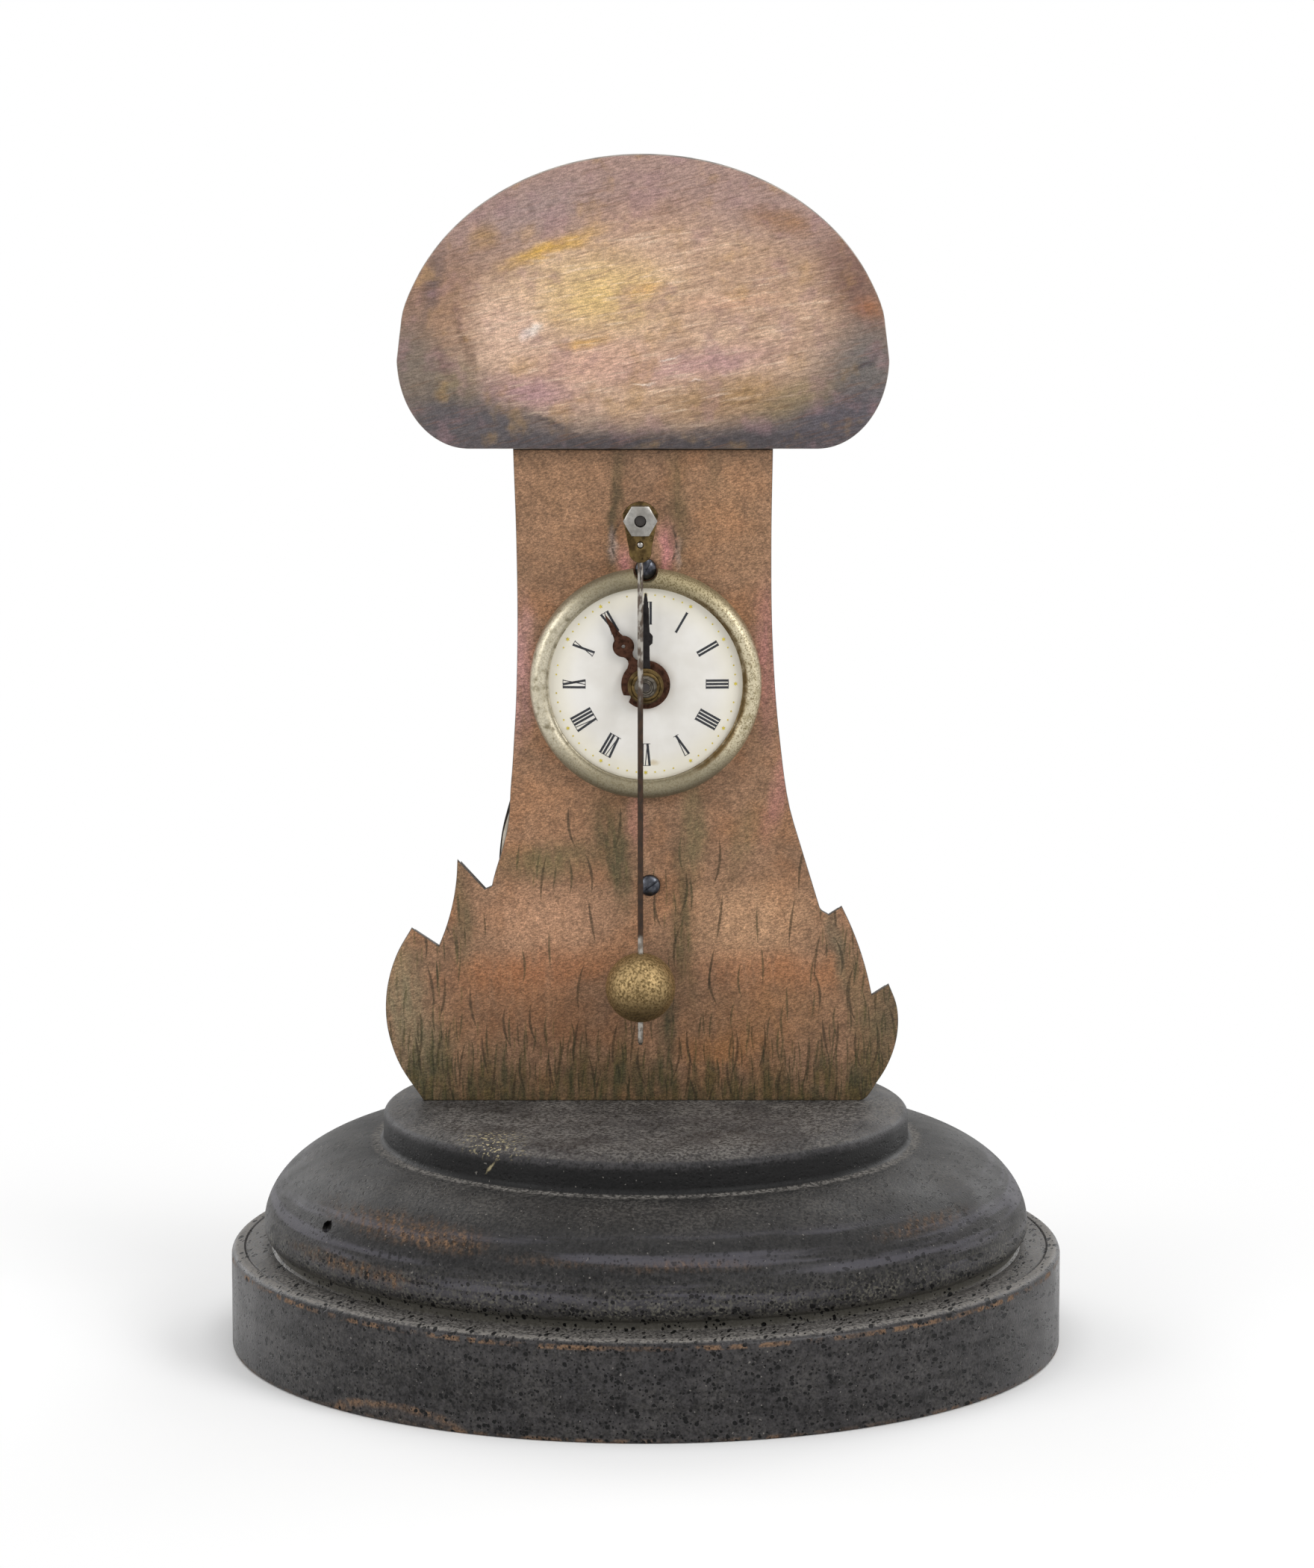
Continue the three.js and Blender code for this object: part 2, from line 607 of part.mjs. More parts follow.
function rightSide(path, inset) {
  const at = (point) => drawnIn(point, inset);
  const waist = STEM_TOP_RIGHT - STEM_WAIST_NARROWING;
  path.lineTo(...at([GRASS_FOOT_RIGHT, 0]));
  path.bezierCurveTo(...at(TUFT_BEND_LOW_RIGHT), ...at(TUFT_BEND_HIGH_RIGHT), ...at(TUFT_TIP_RIGHT));
  path.lineTo(...at(TUFT_NOTCH_RIGHT));
  path.quadraticCurveTo(...at(BLADE_BEND_RIGHT), ...at(BLADE_TIP_RIGHT));
  path.lineTo(...at(BLADE_NOTCH_RIGHT));
  path.lineTo(...at(STEM_FOOT_RIGHT));
  const waistLow = at([waist, STEM_WAIST_LOW]);
  const waistHigh = at([waist + STEM_WAIST_NARROWING / 2, STEM_WAIST_HIGH]);
  path.bezierCurveTo(...waistLow, ...waistHigh, STEM_TOP_RIGHT - inset, STEM_HEIGHT);
}

function leftSide(path, inset) {
  const at = (point) => drawnIn(point, inset);
  const waist = STEM_TOP_LEFT + STEM_WAIST_NARROWING;
  const waistHigh = at([waist, STEM_WAIST_HIGH]);
  const waistLow = at([waist + STEM_WAIST_NARROWING / 2, STEM_WAIST_LOW]);
  path.lineTo(STEM_TOP_LEFT + inset, STEM_HEIGHT);
  path.bezierCurveTo(...waistHigh, ...waistLow, ...at(STEM_FOOT_LEFT));
  path.lineTo(...at(BLADE_NOTCH_LEFT));
  path.lineTo(...at(BLADE_TIP_LEFT));
  path.quadraticCurveTo(...at(BLADE_BEND_LEFT), ...at(TUFT_NOTCH_LEFT));
  path.lineTo(...at(TUFT_TIP_LEFT));
  path.bezierCurveTo(...at(TUFT_BEND_HIGH_LEFT), ...at(TUFT_BEND_LOW_LEFT), ...at([GRASS_FOOT_LEFT, 0]));
}

function capSides(path, inset) {
  const foot = STEM_HEIGHT + inset;
  const widest = STEM_HEIGHT + CAP_LOWER_HEIGHT;
  const corner = CAP_HALF_WIDTH - CAP_FLAT_HALF - inset;
  const rise = widest - foot;
  const half = CAP_HALF_WIDTH - inset;
  path.lineTo(CAP_CENTRE + CAP_FLAT_HALF, foot);
  path.absellipse(CAP_CENTRE + CAP_FLAT_HALF, widest, corner, rise, -Math.PI / 2, 0, false);
  path.absellipse(CAP_CENTRE, widest, half, CAP_DOME_HEIGHT - inset, 0, Math.PI, false);
  path.absellipse(CAP_CENTRE - CAP_FLAT_HALF, widest, corner, rise, Math.PI, 1.5 * Math.PI, false);
}

function pierceFront(shape) {
  const fromDial = ([x, z]) => [x, z + dialHeight];
  shape.holes.push(roundHole(fromDial(centrePlace), MOTION_WELL_RADIUS, ROUND));
  shape.holes.push(roundHole(fromDial(palletPlace), PALLET_HOLE_RADIUS));
  shape.holes.push(roundHole(fromDial(UPPER_SCREW), MOUNT_SHANK_RADIUS + RUN_CLEARANCE));
  shape.holes.push(roundHole(fromDial(LOWER_SCREW), MOUNT_SHANK_RADIUS + RUN_CLEARANCE));
}

function backingPlate() {
  const outline = new THREE.Shape();
  outline.moveTo(-TENON_HALF_WIDTH, -TENON_DEPTH);
  outline.lineTo(TENON_HALF_WIDTH, -TENON_DEPTH);
  outline.lineTo(TENON_HALF_WIDTH, 0);
  rightSide(outline, BACKING_INSET);
  capSides(outline, BACKING_INSET);
  leftSide(outline, BACKING_INSET);
  outline.lineTo(-TENON_HALF_WIDTH, 0);
  pierceFront(outline);
  return slab(outline, 0, BACKING_THICKNESS, CAP_STEPS);
}

function stemFace() {
  const outline = new THREE.Shape();
  outline.moveTo(GRASS_FOOT_LEFT, 0);
  rightSide(outline, 0);
  leftSide(outline, 0);
  pierceFront(outline);
  return slab(outline, stemFront, 0);
}

function capFace() {
  const outline = new THREE.Shape();
  outline.moveTo(CAP_CENTRE - CAP_FLAT_HALF, STEM_HEIGHT + CAP_SEAM);
  capSides(outline, CAP_SEAM);
  return slab(outline, -CAP_THICKNESS, 0, CAP_STEPS);
}

// Dial and bezel
function dial() {
  const back = stemFront;
  const rimFront = back - DIAL_THICKNESS;
  const rimInner = DIAL_RADIUS - DIAL_RIM_WIDTH;
  const hole = hourPipeRadius + FIT_CLEARANCE;
  const domeAt = (radius) => DIAL_DOME * (1 - (radius / DIAL_RADIUS) ** 2);
  const stations = [DIAL_RADIUS, DIAL_RADIUS / 2, hole];
  const front = stations.map((radius) => [radius, rimFront - domeAt(radius)]);
  const profile = [
    ...front,
    [hole, back - domeAt(hole)],
    [rimInner, back - domeAt(rimInner)],
    [rimInner, back],
    [DIAL_RADIUS, back],
    front[0],
  ];
  return turned(profile, FINE);
}

function bezel() {
  const back = stemFront;
  const front = back - BEZEL_DEPTH;
  const lipBack = back - DIAL_THICKNESS - SEAT_GAP;
  const lipFront = lipBack - BEZEL_LIP;
  const recess = DIAL_RADIUS + FIT_CLEARANCE;
  const shoulder = back - BEZEL_EDGE;
  const rounding = [BEZEL_RADIUS - BEZEL_CREST, front - shoulder];
  const outer = ellipseArc([BEZEL_CREST, shoulder], rounding, 0, 90, DOME_STEPS);
  const profile = [
    [recess, back],
    [BEZEL_RADIUS, back],
    ...outer,
    [BEZEL_OPENING, lipFront],
    [BEZEL_OPENING, lipBack],
    [recess, lipBack],
    [recess, back],
  ];
  const notch = drill(MOUNT_HEAD_RADIUS + NOTCH_CLEARANCE, front, back, ROUND);
  return turned(profile, FINE).subtract(notch.translate([UPPER_SCREW[0], 0, UPPER_SCREW[1]]));
}

function mountScrew() {
  const end = plateBack - SEAT_GAP;
  return screw(MOUNT_HEAD_RADIUS, MOUNT_HEAD_HEIGHT, MOUNT_SHANK_RADIUS, stemFront, end, SMALL);
}

// Movement plates, pillars and nuts
function plateOutline() {
  const half = PLATE_WIDTH / 2;
  const shape = new THREE.Shape();
  shape.moveTo(-half + PLATE_CORNER, PLATE_BOTTOM);
  shape.lineTo(half - PLATE_CORNER, PLATE_BOTTOM);
  shape.absarc(half - PLATE_CORNER, PLATE_BOTTOM + PLATE_CORNER, PLATE_CORNER, -Math.PI / 2, 0, false);
  shape.absarc(half - PLATE_CORNER, PLATE_TOP - PLATE_CORNER, PLATE_CORNER, 0, Math.PI / 2, false);
  shape.absarc(-half + PLATE_CORNER, PLATE_TOP - PLATE_CORNER, PLATE_CORNER, Math.PI / 2, Math.PI, false);
  shape.absarc(-half + PLATE_CORNER, PLATE_BOTTOM + PLATE_CORNER, PLATE_CORNER, Math.PI, -Math.PI / 2, false);
  const bushes = [thirdPlace, escapePlace];
  bushes.forEach((place) => shape.holes.push(roundHole(place, PIVOT_RADIUS + RUN_CLEARANCE, TINY)));
  pillarPlaces.forEach(([, x, z]) => {
    shape.holes.push(roundHole([x, z], PILLAR_STUB_RADIUS + RUN_CLEARANCE, TINY));
  });
  return shape;
}

function frontPlate() {
  const shape = plateOutline();
  shape.holes.push(roundHole(centrePlace, CENTRE_ARBOR_RADIUS + RUN_CLEARANCE));
  shape.holes.push(roundHole(barrelPlace, BARREL_SHAFT_RADIUS + RUN_CLEARANCE));
  shape.holes.push(roundHole(palletPlace, PALLET_ARBOR_RADIUS + RUN_CLEARANCE));
  shape.holes.push(roundHole(minutePlace, ARBOR_RADIUS + RUN_CLEARANCE, TINY));
  shape.holes.push(roundHole(UPPER_SCREW, MOUNT_SHANK_RADIUS + RUN_CLEARANCE));
  shape.holes.push(roundHole(LOWER_SCREW, MOUNT_SHANK_RADIUS + RUN_CLEARANCE));
  return slab(shape, plateFront, plateBack, SPOKE_STEPS);
}

function backPlate() {
  const shape = plateOutline();
  const screwHole = SMALL_SHANK_RADIUS + RUN_CLEARANCE;
  shape.holes.push(roundHole(centrePlace, PIVOT_RADIUS + RUN_CLEARANCE, TINY));
  shape.holes.push(roundHole(barrelPlace, BARREL_SHAFT_RADIUS + RUN_CLEARANCE));
  shape.holes.push(roundHole(palletPlace, PALLET_HOLE_RADIUS));
  shape.holes.push(roundHole(clickPlace, screwHole, TINY));
  shape.holes.push(roundHole(clickSpringPlace, screwHole, TINY));
  cockScrewPlaces.forEach(([, x, z]) => shape.holes.push(roundHole([x, z], screwHole, TINY)));
  return slab(shape, rearPlateFront, rearPlateBack, SPOKE_STEPS);
}

function pillar() {
  const middle = (plateBack + rearPlateFront) / 2;
  const waist = PILLAR_LENGTH / 2 - PILLAR_SHOULDER;
  const studEnd = rearPlateBack + NUT_THICKNESS + ARBOR_END;
  const profile = [
    [0, plateFront + SEAT_GAP],
    [PILLAR_STUB_RADIUS, plateFront + SEAT_GAP],
    [PILLAR_STUB_RADIUS, plateBack],
    [PILLAR_SHOULDER, plateBack],
    [PILLAR_RADIUS, middle - waist],
    [PILLAR_RADIUS, middle + waist],
    [PILLAR_SHOULDER, rearPlateFront],
    [PILLAR_STUB_RADIUS, rearPlateFront],
    [PILLAR_STUB_RADIUS, studEnd],
    [0, studEnd],
  ];
  return turned(profile, TINY);
}

function pillarNut() {
  const shape = hexagon(NUT_WIDTH, PILLAR_STUB_RADIUS + RUN_CLEARANCE);
  return slab(shape, rearPlateBack, rearPlateBack + NUT_THICKNESS);
}

// Barrel, cover, mainspring and winding work
function barrel() {
  const boreRadius = BARREL_SHAFT_RADIUS + RUN_CLEARANCE;
  const greatWheel = wheelOutline(BARREL_TEETH, BARREL_MODULE, bearing(barrelPlace, centrePlace));
  greatWheel.holes.push(roundHole(centrePlace, boreRadius));
  const inner = BARREL_DRUM_RADIUS - BARREL_WALL;
  const wall = ring(inner, BARREL_DRUM_RADIUS, barrelFloorBack - BARREL_FLOOR / 2, barrelBack, FINE);
  return slab(greatWheel, barrelFront, barrelFloorBack).add(wall);
}

function barrelCover() {
  const outer = BARREL_DRUM_RADIUS - BARREL_WALL - RUN_CLEARANCE;
  return ring(BARREL_SHAFT_RADIUS + RUN_CLEARANCE, outer, barrelCoverFront, barrelBack, FINE);
}

function mainspring() {
  const innerRadius = BARREL_CORE_RADIUS + SPRING_SIDE_GAP + SPRING_THICKNESS / 2;
  const outerRadius = BARREL_DRUM_RADIUS - BARREL_WALL - SPRING_SIDE_GAP - SPRING_THICKNESS / 2;
  const steps = SPRING_TURNS * SPRING_STEPS;
  const edge = (offset) =>
    Array.from({ length: steps + 1 }, (_, i) => {
      const angle = (2 * Math.PI * i) / SPRING_STEPS;
      const radius = innerRadius + ((outerRadius - innerRadius) * i) / steps + offset;
      return [radius * Math.cos(angle), radius * Math.sin(angle)];
    });
  const strip = polygon([...edge(SPRING_THICKNESS / 2), ...edge(-SPRING_THICKNESS / 2).reverse()]);
  return slab(strip, barrelFloorBack + SPRING_SIDE_GAP, barrelCoverFront - SPRING_SIDE_GAP);
}

function windingArbor() {
  const coreFront = barrelFloorBack + SPRING_SIDE_GAP;
  const coreBack = barrelCoverFront - SPRING_SIDE_GAP;
  const squareFront = rearPlateBack;
  const shaft = turned(
    [
      [0, plateFront + SEAT_GAP],
      [BARREL_SHAFT_RADIUS, plateFront + SEAT_GAP],
      [BARREL_SHAFT_RADIUS, coreFront],
      [BARREL_CORE_RADIUS, coreFront],
      [BARREL_CORE_RADIUS, coreBack],
      [BARREL_SHAFT_RADIUS, coreBack],
      [BARREL_SHAFT_RADIUS, squareFront],
      [0, squareFront],
    ],
    SMALL,
  );
  const square = new THREE.BoxGeometry(SQUARE_WIDTH, SQUARE_LENGTH + PLATE_THICKNESS, SQUARE_WIDTH);
  square.translate(0, squareFront + (SQUARE_LENGTH - PLATE_THICKNESS) / 2, 0);
  return shaft.add(toSolid(square));
}

function ratchetWheel() {
  const step = (2 * Math.PI) / RATCHET_TEETH;
  const root = RATCHET_RADIUS - RATCHET_TOOTH_DEPTH;
  const points = [];
  for (let i = 0; i < RATCHET_TEETH; i += 1) {
    const tip = (i + RATCHET_LEAN) * step;
    points.push([root * Math.cos(i * step), root * Math.sin(i * step)]);
    points.push([RATCHET_RADIUS * Math.cos(tip), RATCHET_RADIUS * Math.sin(tip)]);
  }
  const shape = polygon(points);
  const half = SQUARE_WIDTH / 2 + SEAT_GAP;
  shape.holes.push(polygon([[-half, -half], [half, -half], [half, half], [-half, half]]));
  return slab(shape, ratchetFront, ratchetBack);
}

// The click stands just clear of the ratchet's teeth, about its own screw
function click() {
  const tip = polar(RATCHET_RADIUS + CLICK_CLEARANCE, CLICK_TIP_DIRECTION);
  const hub = polar(CLICK_DISTANCE, CLICK_DIRECTION);
  const reach = [tip[0] - hub[0], tip[1] - hub[1]];
  const length = Math.hypot(...reach);
  const lever = polygon([
    [0, -CLICK_ROOT_LOW],
    [length, 0],
    [length, CLICK_TIP_WIDTH],
    [0, CLICK_ROOT_HIGH],
  ]);
  const arm = slab(lever, ratchetFront, ratchetBack);
  const disc = rod(CLICK_HUB_RADIUS, ratchetFront, ratchetBack, SMALL);
  const bore = drill(SMALL_SHANK_RADIUS + RUN_CLEARANCE, ratchetFront, ratchetBack, SMALL);
  const turn = THREE.MathUtils.radToDeg(Math.atan2(reach[1], reach[0]));
  return arm.add(disc).subtract(bore).rotate([0, -turn, 0]);
}

function clickSpring() {
  const endX = barrelPlace[0] - clickSpringPlace[0] - CLICK_HUB_RADIUS;
  const end = [endX, CLICK_HUB_RADIUS * 2 - CLICK_SPRING_RISE];
  const length = Math.hypot(...end);
  const turn = THREE.MathUtils.radToDeg(Math.atan2(end[1], end[0]));
  const blade = polygon([
    [0, -CLICK_SPRING_THICKNESS / 2],
    [length, -CLICK_SPRING_THICKNESS / 2],
    [length, CLICK_SPRING_THICKNESS / 2],
    [0, CLICK_SPRING_THICKNESS / 2],
  ]);
  const strip = slab(blade, rearPlateBack, ratchetBack).rotate([0, -turn, 0]);
  const foot = rod(CLICK_SPRING_FOOT, rearPlateBack, ratchetBack, SMALL);
  const bore = drill(SMALL_SHANK_RADIUS + RUN_CLEARANCE, rearPlateBack, ratchetBack, SMALL);
  return strip.add(foot).subtract(bore);
}

function smallScrew(seat) {
  const end = rearPlateFront + SEAT_GAP;
  return screw(SMALL_HEAD_RADIUS, SMALL_HEAD_HEIGHT, SMALL_SHANK_RADIUS, seat, end, TINY);
}

// Centre, third and escape arbors with their wheels
function centreArbor() {
  const core = leafRoot(CENTRE_LEAVES, BARREL_MODULE);
  const pinionFront = barrelFront - PINION_OVERHANG / 2;
  const pinionBack = barrelFloorBack + PINION_OVERHANG;
  const bearingBack = plateBack + END_PLAY;
  const bodyBack = rearPlateFront - END_PLAY;
  const shoulder = cannonBack + SEAT_GAP;
  const shaft = turned(
    [
      [0, centreArborFront],
      [HAND_ARBOR_RADIUS, centreArborFront],
      [HAND_ARBOR_RADIUS, shoulder],
      [CENTRE_ARBOR_RADIUS, shoulder],
      [CENTRE_ARBOR_RADIUS, bearingBack],
      [core, pinionFront],
      [core, pinionBack],
      [CENTRE_ARBOR_RADIUS, pinionBack],
      [CENTRE_ARBOR_RADIUS, bodyBack],
      [PIVOT_RADIUS, bodyBack],
      [PIVOT_RADIUS, rearPlateBack],
      [0, rearPlateBack],
    ],
    SMALL,
  );
  const phase = bearing(centrePlace, barrelPlace);
  return shaft.add(slab(pinionOutline(CENTRE_LEAVES, BARREL_MODULE, phase), pinionFront, pinionBack));
}

function centreWheel() {
  const phase = bearing(centrePlace, thirdPlace);
  const bore = CENTRE_ARBOR_RADIUS + RUN_CLEARANCE;
  return crossedWheel(CENTRE_TEETH, CENTRE_MODULE, phase, centreWheelFront, centreWheelBack, bore);
}

function thirdArbor() {
  const phase = bearing(thirdPlace, centrePlace);
  const front = centreWheelFront - PINION_OVERHANG;
  const back = centreWheelBack + PINION_OVERHANG;
  return pinionArbor(THIRD_LEAVES, CENTRE_MODULE, phase, front, back);
}

function thirdWheel() {
  const phase = bearing(thirdPlace, escapePlace);
  const bore = ARBOR_RADIUS + RUN_CLEARANCE;
  return crossedWheel(THIRD_TEETH, THIRD_MODULE, phase, thirdWheelFront, thirdWheelBack, bore);
}

function escapeArbor() {
  const phase = bearing(escapePlace, thirdPlace);
  const front = thirdWheelFront - PINION_OVERHANG;
  const back = thirdWheelBack + PINION_OVERHANG;
  return pinionArbor(ESCAPE_LEAVES, THIRD_MODULE, phase, front, back);
}

function escapeWheel() {
  const step = (2 * Math.PI) / ESCAPE_TEETH;
  const root = ESCAPE_RADIUS - ESCAPE_TOOTH_DEPTH;
  const points = [];
  for (let i = 0; i < ESCAPE_TEETH; i += 1) {
    const lean = ESCAPE_TOOTH_LEAN * step;
    points.push([root * Math.cos(i * step - step / 2), root * Math.sin(i * step - step / 2)]);
    points.push([ESCAPE_RADIUS * Math.cos(i * step + lean), ESCAPE_RADIUS * Math.sin(i * step + lean)]);
  }
  const shape = polygon(points);
  crossOut(shape, ESCAPE_HUB_RADIUS, root - ESCAPE_RIM_WIDTH);
  shape.holes.push(roundHole(centrePlace, ARBOR_RADIUS + RUN_CLEARANCE));
  return slab(shape, escapeWheelFront, escapeWheelBack, SPOKE_STEPS);
}

// The anchor's pallets stay clear of the escape wheel over the whole swing
function anchor() {
  const distance = palletPlace[1] - escapePlace[1];
  const spanAngle = (PALLET_SPAN_TEETH * Math.PI) / ESCAPE_TEETH;
  const reach = [ESCAPE_RADIUS * Math.sin(spanAngle), distance - ESCAPE_RADIUS * Math.cos(spanAngle)];
  const swingTravel = Math.hypot(...reach) * Math.sin(radians(PALLET_SWING));
  const clearRadius = ESCAPE_RADIUS + PALLET_CLEARANCE + swingTravel;
  const palletX = clearRadius * Math.sin(spanAngle);
  const palletZ = clearRadius * Math.cos(spanAngle) - distance;
  const [shoulderX, shoulderZ] = ANCHOR_SHOULDER;
  const half = [
    [0, ANCHOR_HUB],
    [shoulderX, shoulderZ],
    [palletX + PALLET_WIDTH, palletZ + PALLET_DEPTH],
    [palletX + PALLET_WIDTH, palletZ + PALLET_SLOPE],
    [palletX, palletZ],
    [palletX - PALLET_SLOPE, palletZ + PALLET_WIDTH],
    [shoulderX, -shoulderZ],
    [0, -ANCHOR_HUB],
  ];
  const mirrored = half.slice(1, -1).reverse().map(([x, z]) => [-x, z]);
  const shape = polygon([...half, ...mirrored]);
  shape.holes.push(roundHole(centrePlace, PALLET_ARBOR_RADIUS + RUN_CLEARANCE));
  const middle = (escapeWheelFront + escapeWheelBack) / 2;
  return slab(shape, middle - ANCHOR_THICKNESS / 2, middle + ANCHOR_THICKNESS / 2);
}

function palletArbor() {
  const end = crutchNutFront + ARBOR_END * 2;
  const collarBack = crutchBack + PALLET_COLLAR_LENGTH;
  const bodyBack = cockFront - END_PLAY;
  const profile = [
    [0, end],
    [PALLET_ARBOR_RADIUS, end],
    [PALLET_ARBOR_RADIUS, crutchBack],
    [PALLET_COLLAR_RADIUS, crutchBack],
    [PALLET_COLLAR_RADIUS, collarBack],
    [PALLET_ARBOR_RADIUS, collarBack],
    [PALLET_ARBOR_RADIUS, bodyBack],
    [PIVOT_RADIUS, bodyBack],
    [PIVOT_RADIUS, cockBack],
    [0, cockBack],
  ];
  return turned(profile, SMALL);
}

// A bent strap over the pallet arbor's rear pivot
function palletCock() {
  const outer = cockEnd - COCK_FLANGE;
  const inner = outer - COCK_THICKNESS;
  const seat = rearPlateBack;
  const flangeTop = seat + COCK_THICKNESS;
  const right = [[inner, seat], [cockEnd, seat], [cockEnd, flangeTop], [outer, flangeTop], [outer, cockBack]];
  const left = right.slice().reverse().map(([x, y]) => [-x, y]);
  const section = polygon([[-inner, cockFront], [inner, cockFront], ...right, ...left]);
  const strap = new THREE.ExtrudeGeometry(section, { depth: COCK_HEIGHT, bevelEnabled: false });
  strap.translate(0, 0, -COCK_HEIGHT / 2);
  const pivotHole = rod(PIVOT_RADIUS + RUN_CLEARANCE, seat, cockBack + OVERCUT, TINY);
  const screwHole = drill(SMALL_SHANK_RADIUS + RUN_CLEARANCE, seat, cockBack, TINY);
  return toSolid(strap)
    .subtract(pivotHole)
    .subtract(screwHole.translate([-cockScrewX, 0, 0]))
    .subtract(screwHole.translate([cockScrewX, 0, 0]));
}

// Motion work under the dial
function cannonPinion() {
  const bore = HAND_ARBOR_RADIUS + RUN_CLEARANCE;
  const phase = bearing(centrePlace, minutePlace);
  const shape = pinionOutline(CANNON_LEAVES, MOTION_MODULE, phase);
  shape.holes.push(roundHole(centrePlace, bore));
  const pipeBack = cannonFront + MOTION_WHEEL_THICKNESS / 2;
  const pipe = ring(bore, cannonPipeRadius, minuteHandFront + SEAT_GAP, pipeBack, SMALL);
  const leaves = slab(shape, cannonFront, cannonBack);
  return leaves.add(pipe).subtract(drill(bore, minuteHandFront, cannonBack, SMALL));
}

function minuteWheel() {
  const bore = ARBOR_RADIUS + RUN_CLEARANCE;
  const wheel = wheelOutline(MINUTE_TEETH, MOTION_MODULE, bearing(minutePlace, centrePlace));
  const pinion = pinionOutline(MINUTE_LEAVES, MOTION_MODULE, bearing(minutePlace, centrePlace));
  const solid = slab(wheel, cannonFront, cannonBack).add(slab(pinion, hourWheelFront, cannonFront));
  return solid.subtract(drill(bore, hourWheelFront, cannonBack, SMALL));
}

function minutePost() {
  const front = hourWheelFront - SEAT_GAP;
  return rod(ARBOR_RADIUS, front, plateBack - SEAT_GAP, TINY);
}

function hourWheel() {
  const bore = cannonPipeRadius + RUN_CLEARANCE;
  const wheel = wheelOutline(HOUR_TEETH, MOTION_MODULE, bearing(centrePlace, minutePlace));
  const pipeBack = hourWheelFront + MOTION_WHEEL_THICKNESS / 2;
  const pipe = ring(bore, hourPipeRadius, hourHandFront + SEAT_GAP, pipeBack, SMALL);
  const cut = drill(bore, hourHandFront, hourWheelBack, SMALL);
  return slab(wheel, hourWheelFront, hourWheelBack).add(pipe).subtract(cut);
}

// Hands, drawn pointing to twelve: widths at heights above the centre
function tapered(stations) {
  const right = stations.map(([width, z]) => [width / 2, z]);
  const left = stations.map(([width, z]) => [-width / 2, z]).reverse();
  return polygon([...right, ...left]);
}

function hourHand() {
  const blade = tapered([
    [HOUR_ROOT_WIDTH, 0],
    [HOUR_NECK_WIDTH, HOUR_RING_PLACE],
    [HOUR_SHOULDER_WIDTH, HOUR_SHOULDER_PLACE],
    [HAND_TIP_WIDTH, HOUR_HAND_LENGTH],
  ]);
  const solid = slab(blade, hourHandFront, hourHandBack)
    .add(rod(HOUR_HUB_RADIUS, hourHandFront, hourHandBack, ROUND))
    .add(rod(HOUR_RING_RADIUS, hourHandFront, hourHandBack, ROUND).translate([0, 0, HOUR_RING_PLACE]));
  const eye = drill(HOUR_RING_HOLE, hourHandFront, hourHandBack, TINY);
  const bore = drill(hourPipeRadius + RUN_CLEARANCE, hourHandFront, hourHandBack, ROUND);
  const pierced = solid.subtract(eye.translate([0, 0, HOUR_RING_PLACE])).subtract(bore);
  return pierced.rotate([0, (SHOWN_HOUR * 360) / 12, 0]);
}

function minuteHand() {
  const bulgeFoot = MINUTE_BULGE_PLACE - MINUTE_BULGE_LENGTH / 2;
  const bulgeHead = MINUTE_BULGE_PLACE + MINUTE_BULGE_LENGTH / 2;
  const outline = tapered([
    [MINUTE_ROOT_WIDTH, 0],
    [MINUTE_NECK_WIDTH, bulgeFoot - MINUTE_BULGE_SLOPE],
    [MINUTE_BULGE_WIDTH, bulgeFoot],
    [MINUTE_BULGE_WIDTH, bulgeHead],
    [MINUTE_BLADE_WIDTH, bulgeHead + MINUTE_BULGE_SLOPE],
    [MINUTE_BLADE_WIDTH, MINUTE_SHOULDER_PLACE],
    [HAND_TIP_WIDTH, MINUTE_SHOULDER_PLACE + MINUTE_BULGE_SLOPE],
    [HAND_TIP_WIDTH, MINUTE_HAND_LENGTH],
  ]);
  const blade = slab(outline, minuteHandFront, minuteHandBack);
  const hub = rod(MINUTE_HUB_RADIUS, minuteHandFront, minuteHandBack, ROUND);
  const bore = drill(cannonPipeRadius + RUN_CLEARANCE, minuteHandFront, minuteHandBack, SMALL);
  return blade.add(hub).subtract(bore);
}

function handCollet() {
  return ring(HAND_ARBOR_RADIUS + RUN_CLEARANCE, COLLET_RADIUS, colletFront, minuteHandFront, ROUND);
}

function handNut() {
  return ring(HAND_ARBOR_RADIUS + RUN_CLEARANCE, HAND_NUT_RADIUS, handNutFront, colletFront, ROUND);
}

// Pendulum: crutch, nut, pin, rod and bob
function crutch() {
  const taper = (CRUTCH_TOP_RADIUS - CRUTCH_FOOT_RADIUS) / CRUTCH_LENGTH;
  const tangent = THREE.MathUtils.radToDeg(Math.asin(taper));
  const top = ellipseArc(
    centrePlace,
    [CRUTCH_TOP_RADIUS, CRUTCH_TOP_RADIUS],
    tangent,
    180 - tangent,
    CRUTCH_STEPS,
  );
  const foot = ellipseArc(
    [0, -CRUTCH_LENGTH],
    [CRUTCH_FOOT_RADIUS, CRUTCH_FOOT_RADIUS],
    180 - tangent,
    360 + tangent,
    CRUTCH_STEPS,
  );
  const shape = polygon([...top, ...foot]);
  shape.holes.push(roundHole(centrePlace, PALLET_ARBOR_RADIUS + RUN_CLEARANCE));
  shape.holes.push(roundHole([0, -CRUTCH_PIN_DROP], CRUTCH_PIN_RADIUS + RUN_CLEARANCE, TINY));
  return slab(shape, crutchFront, crutchBack);
}

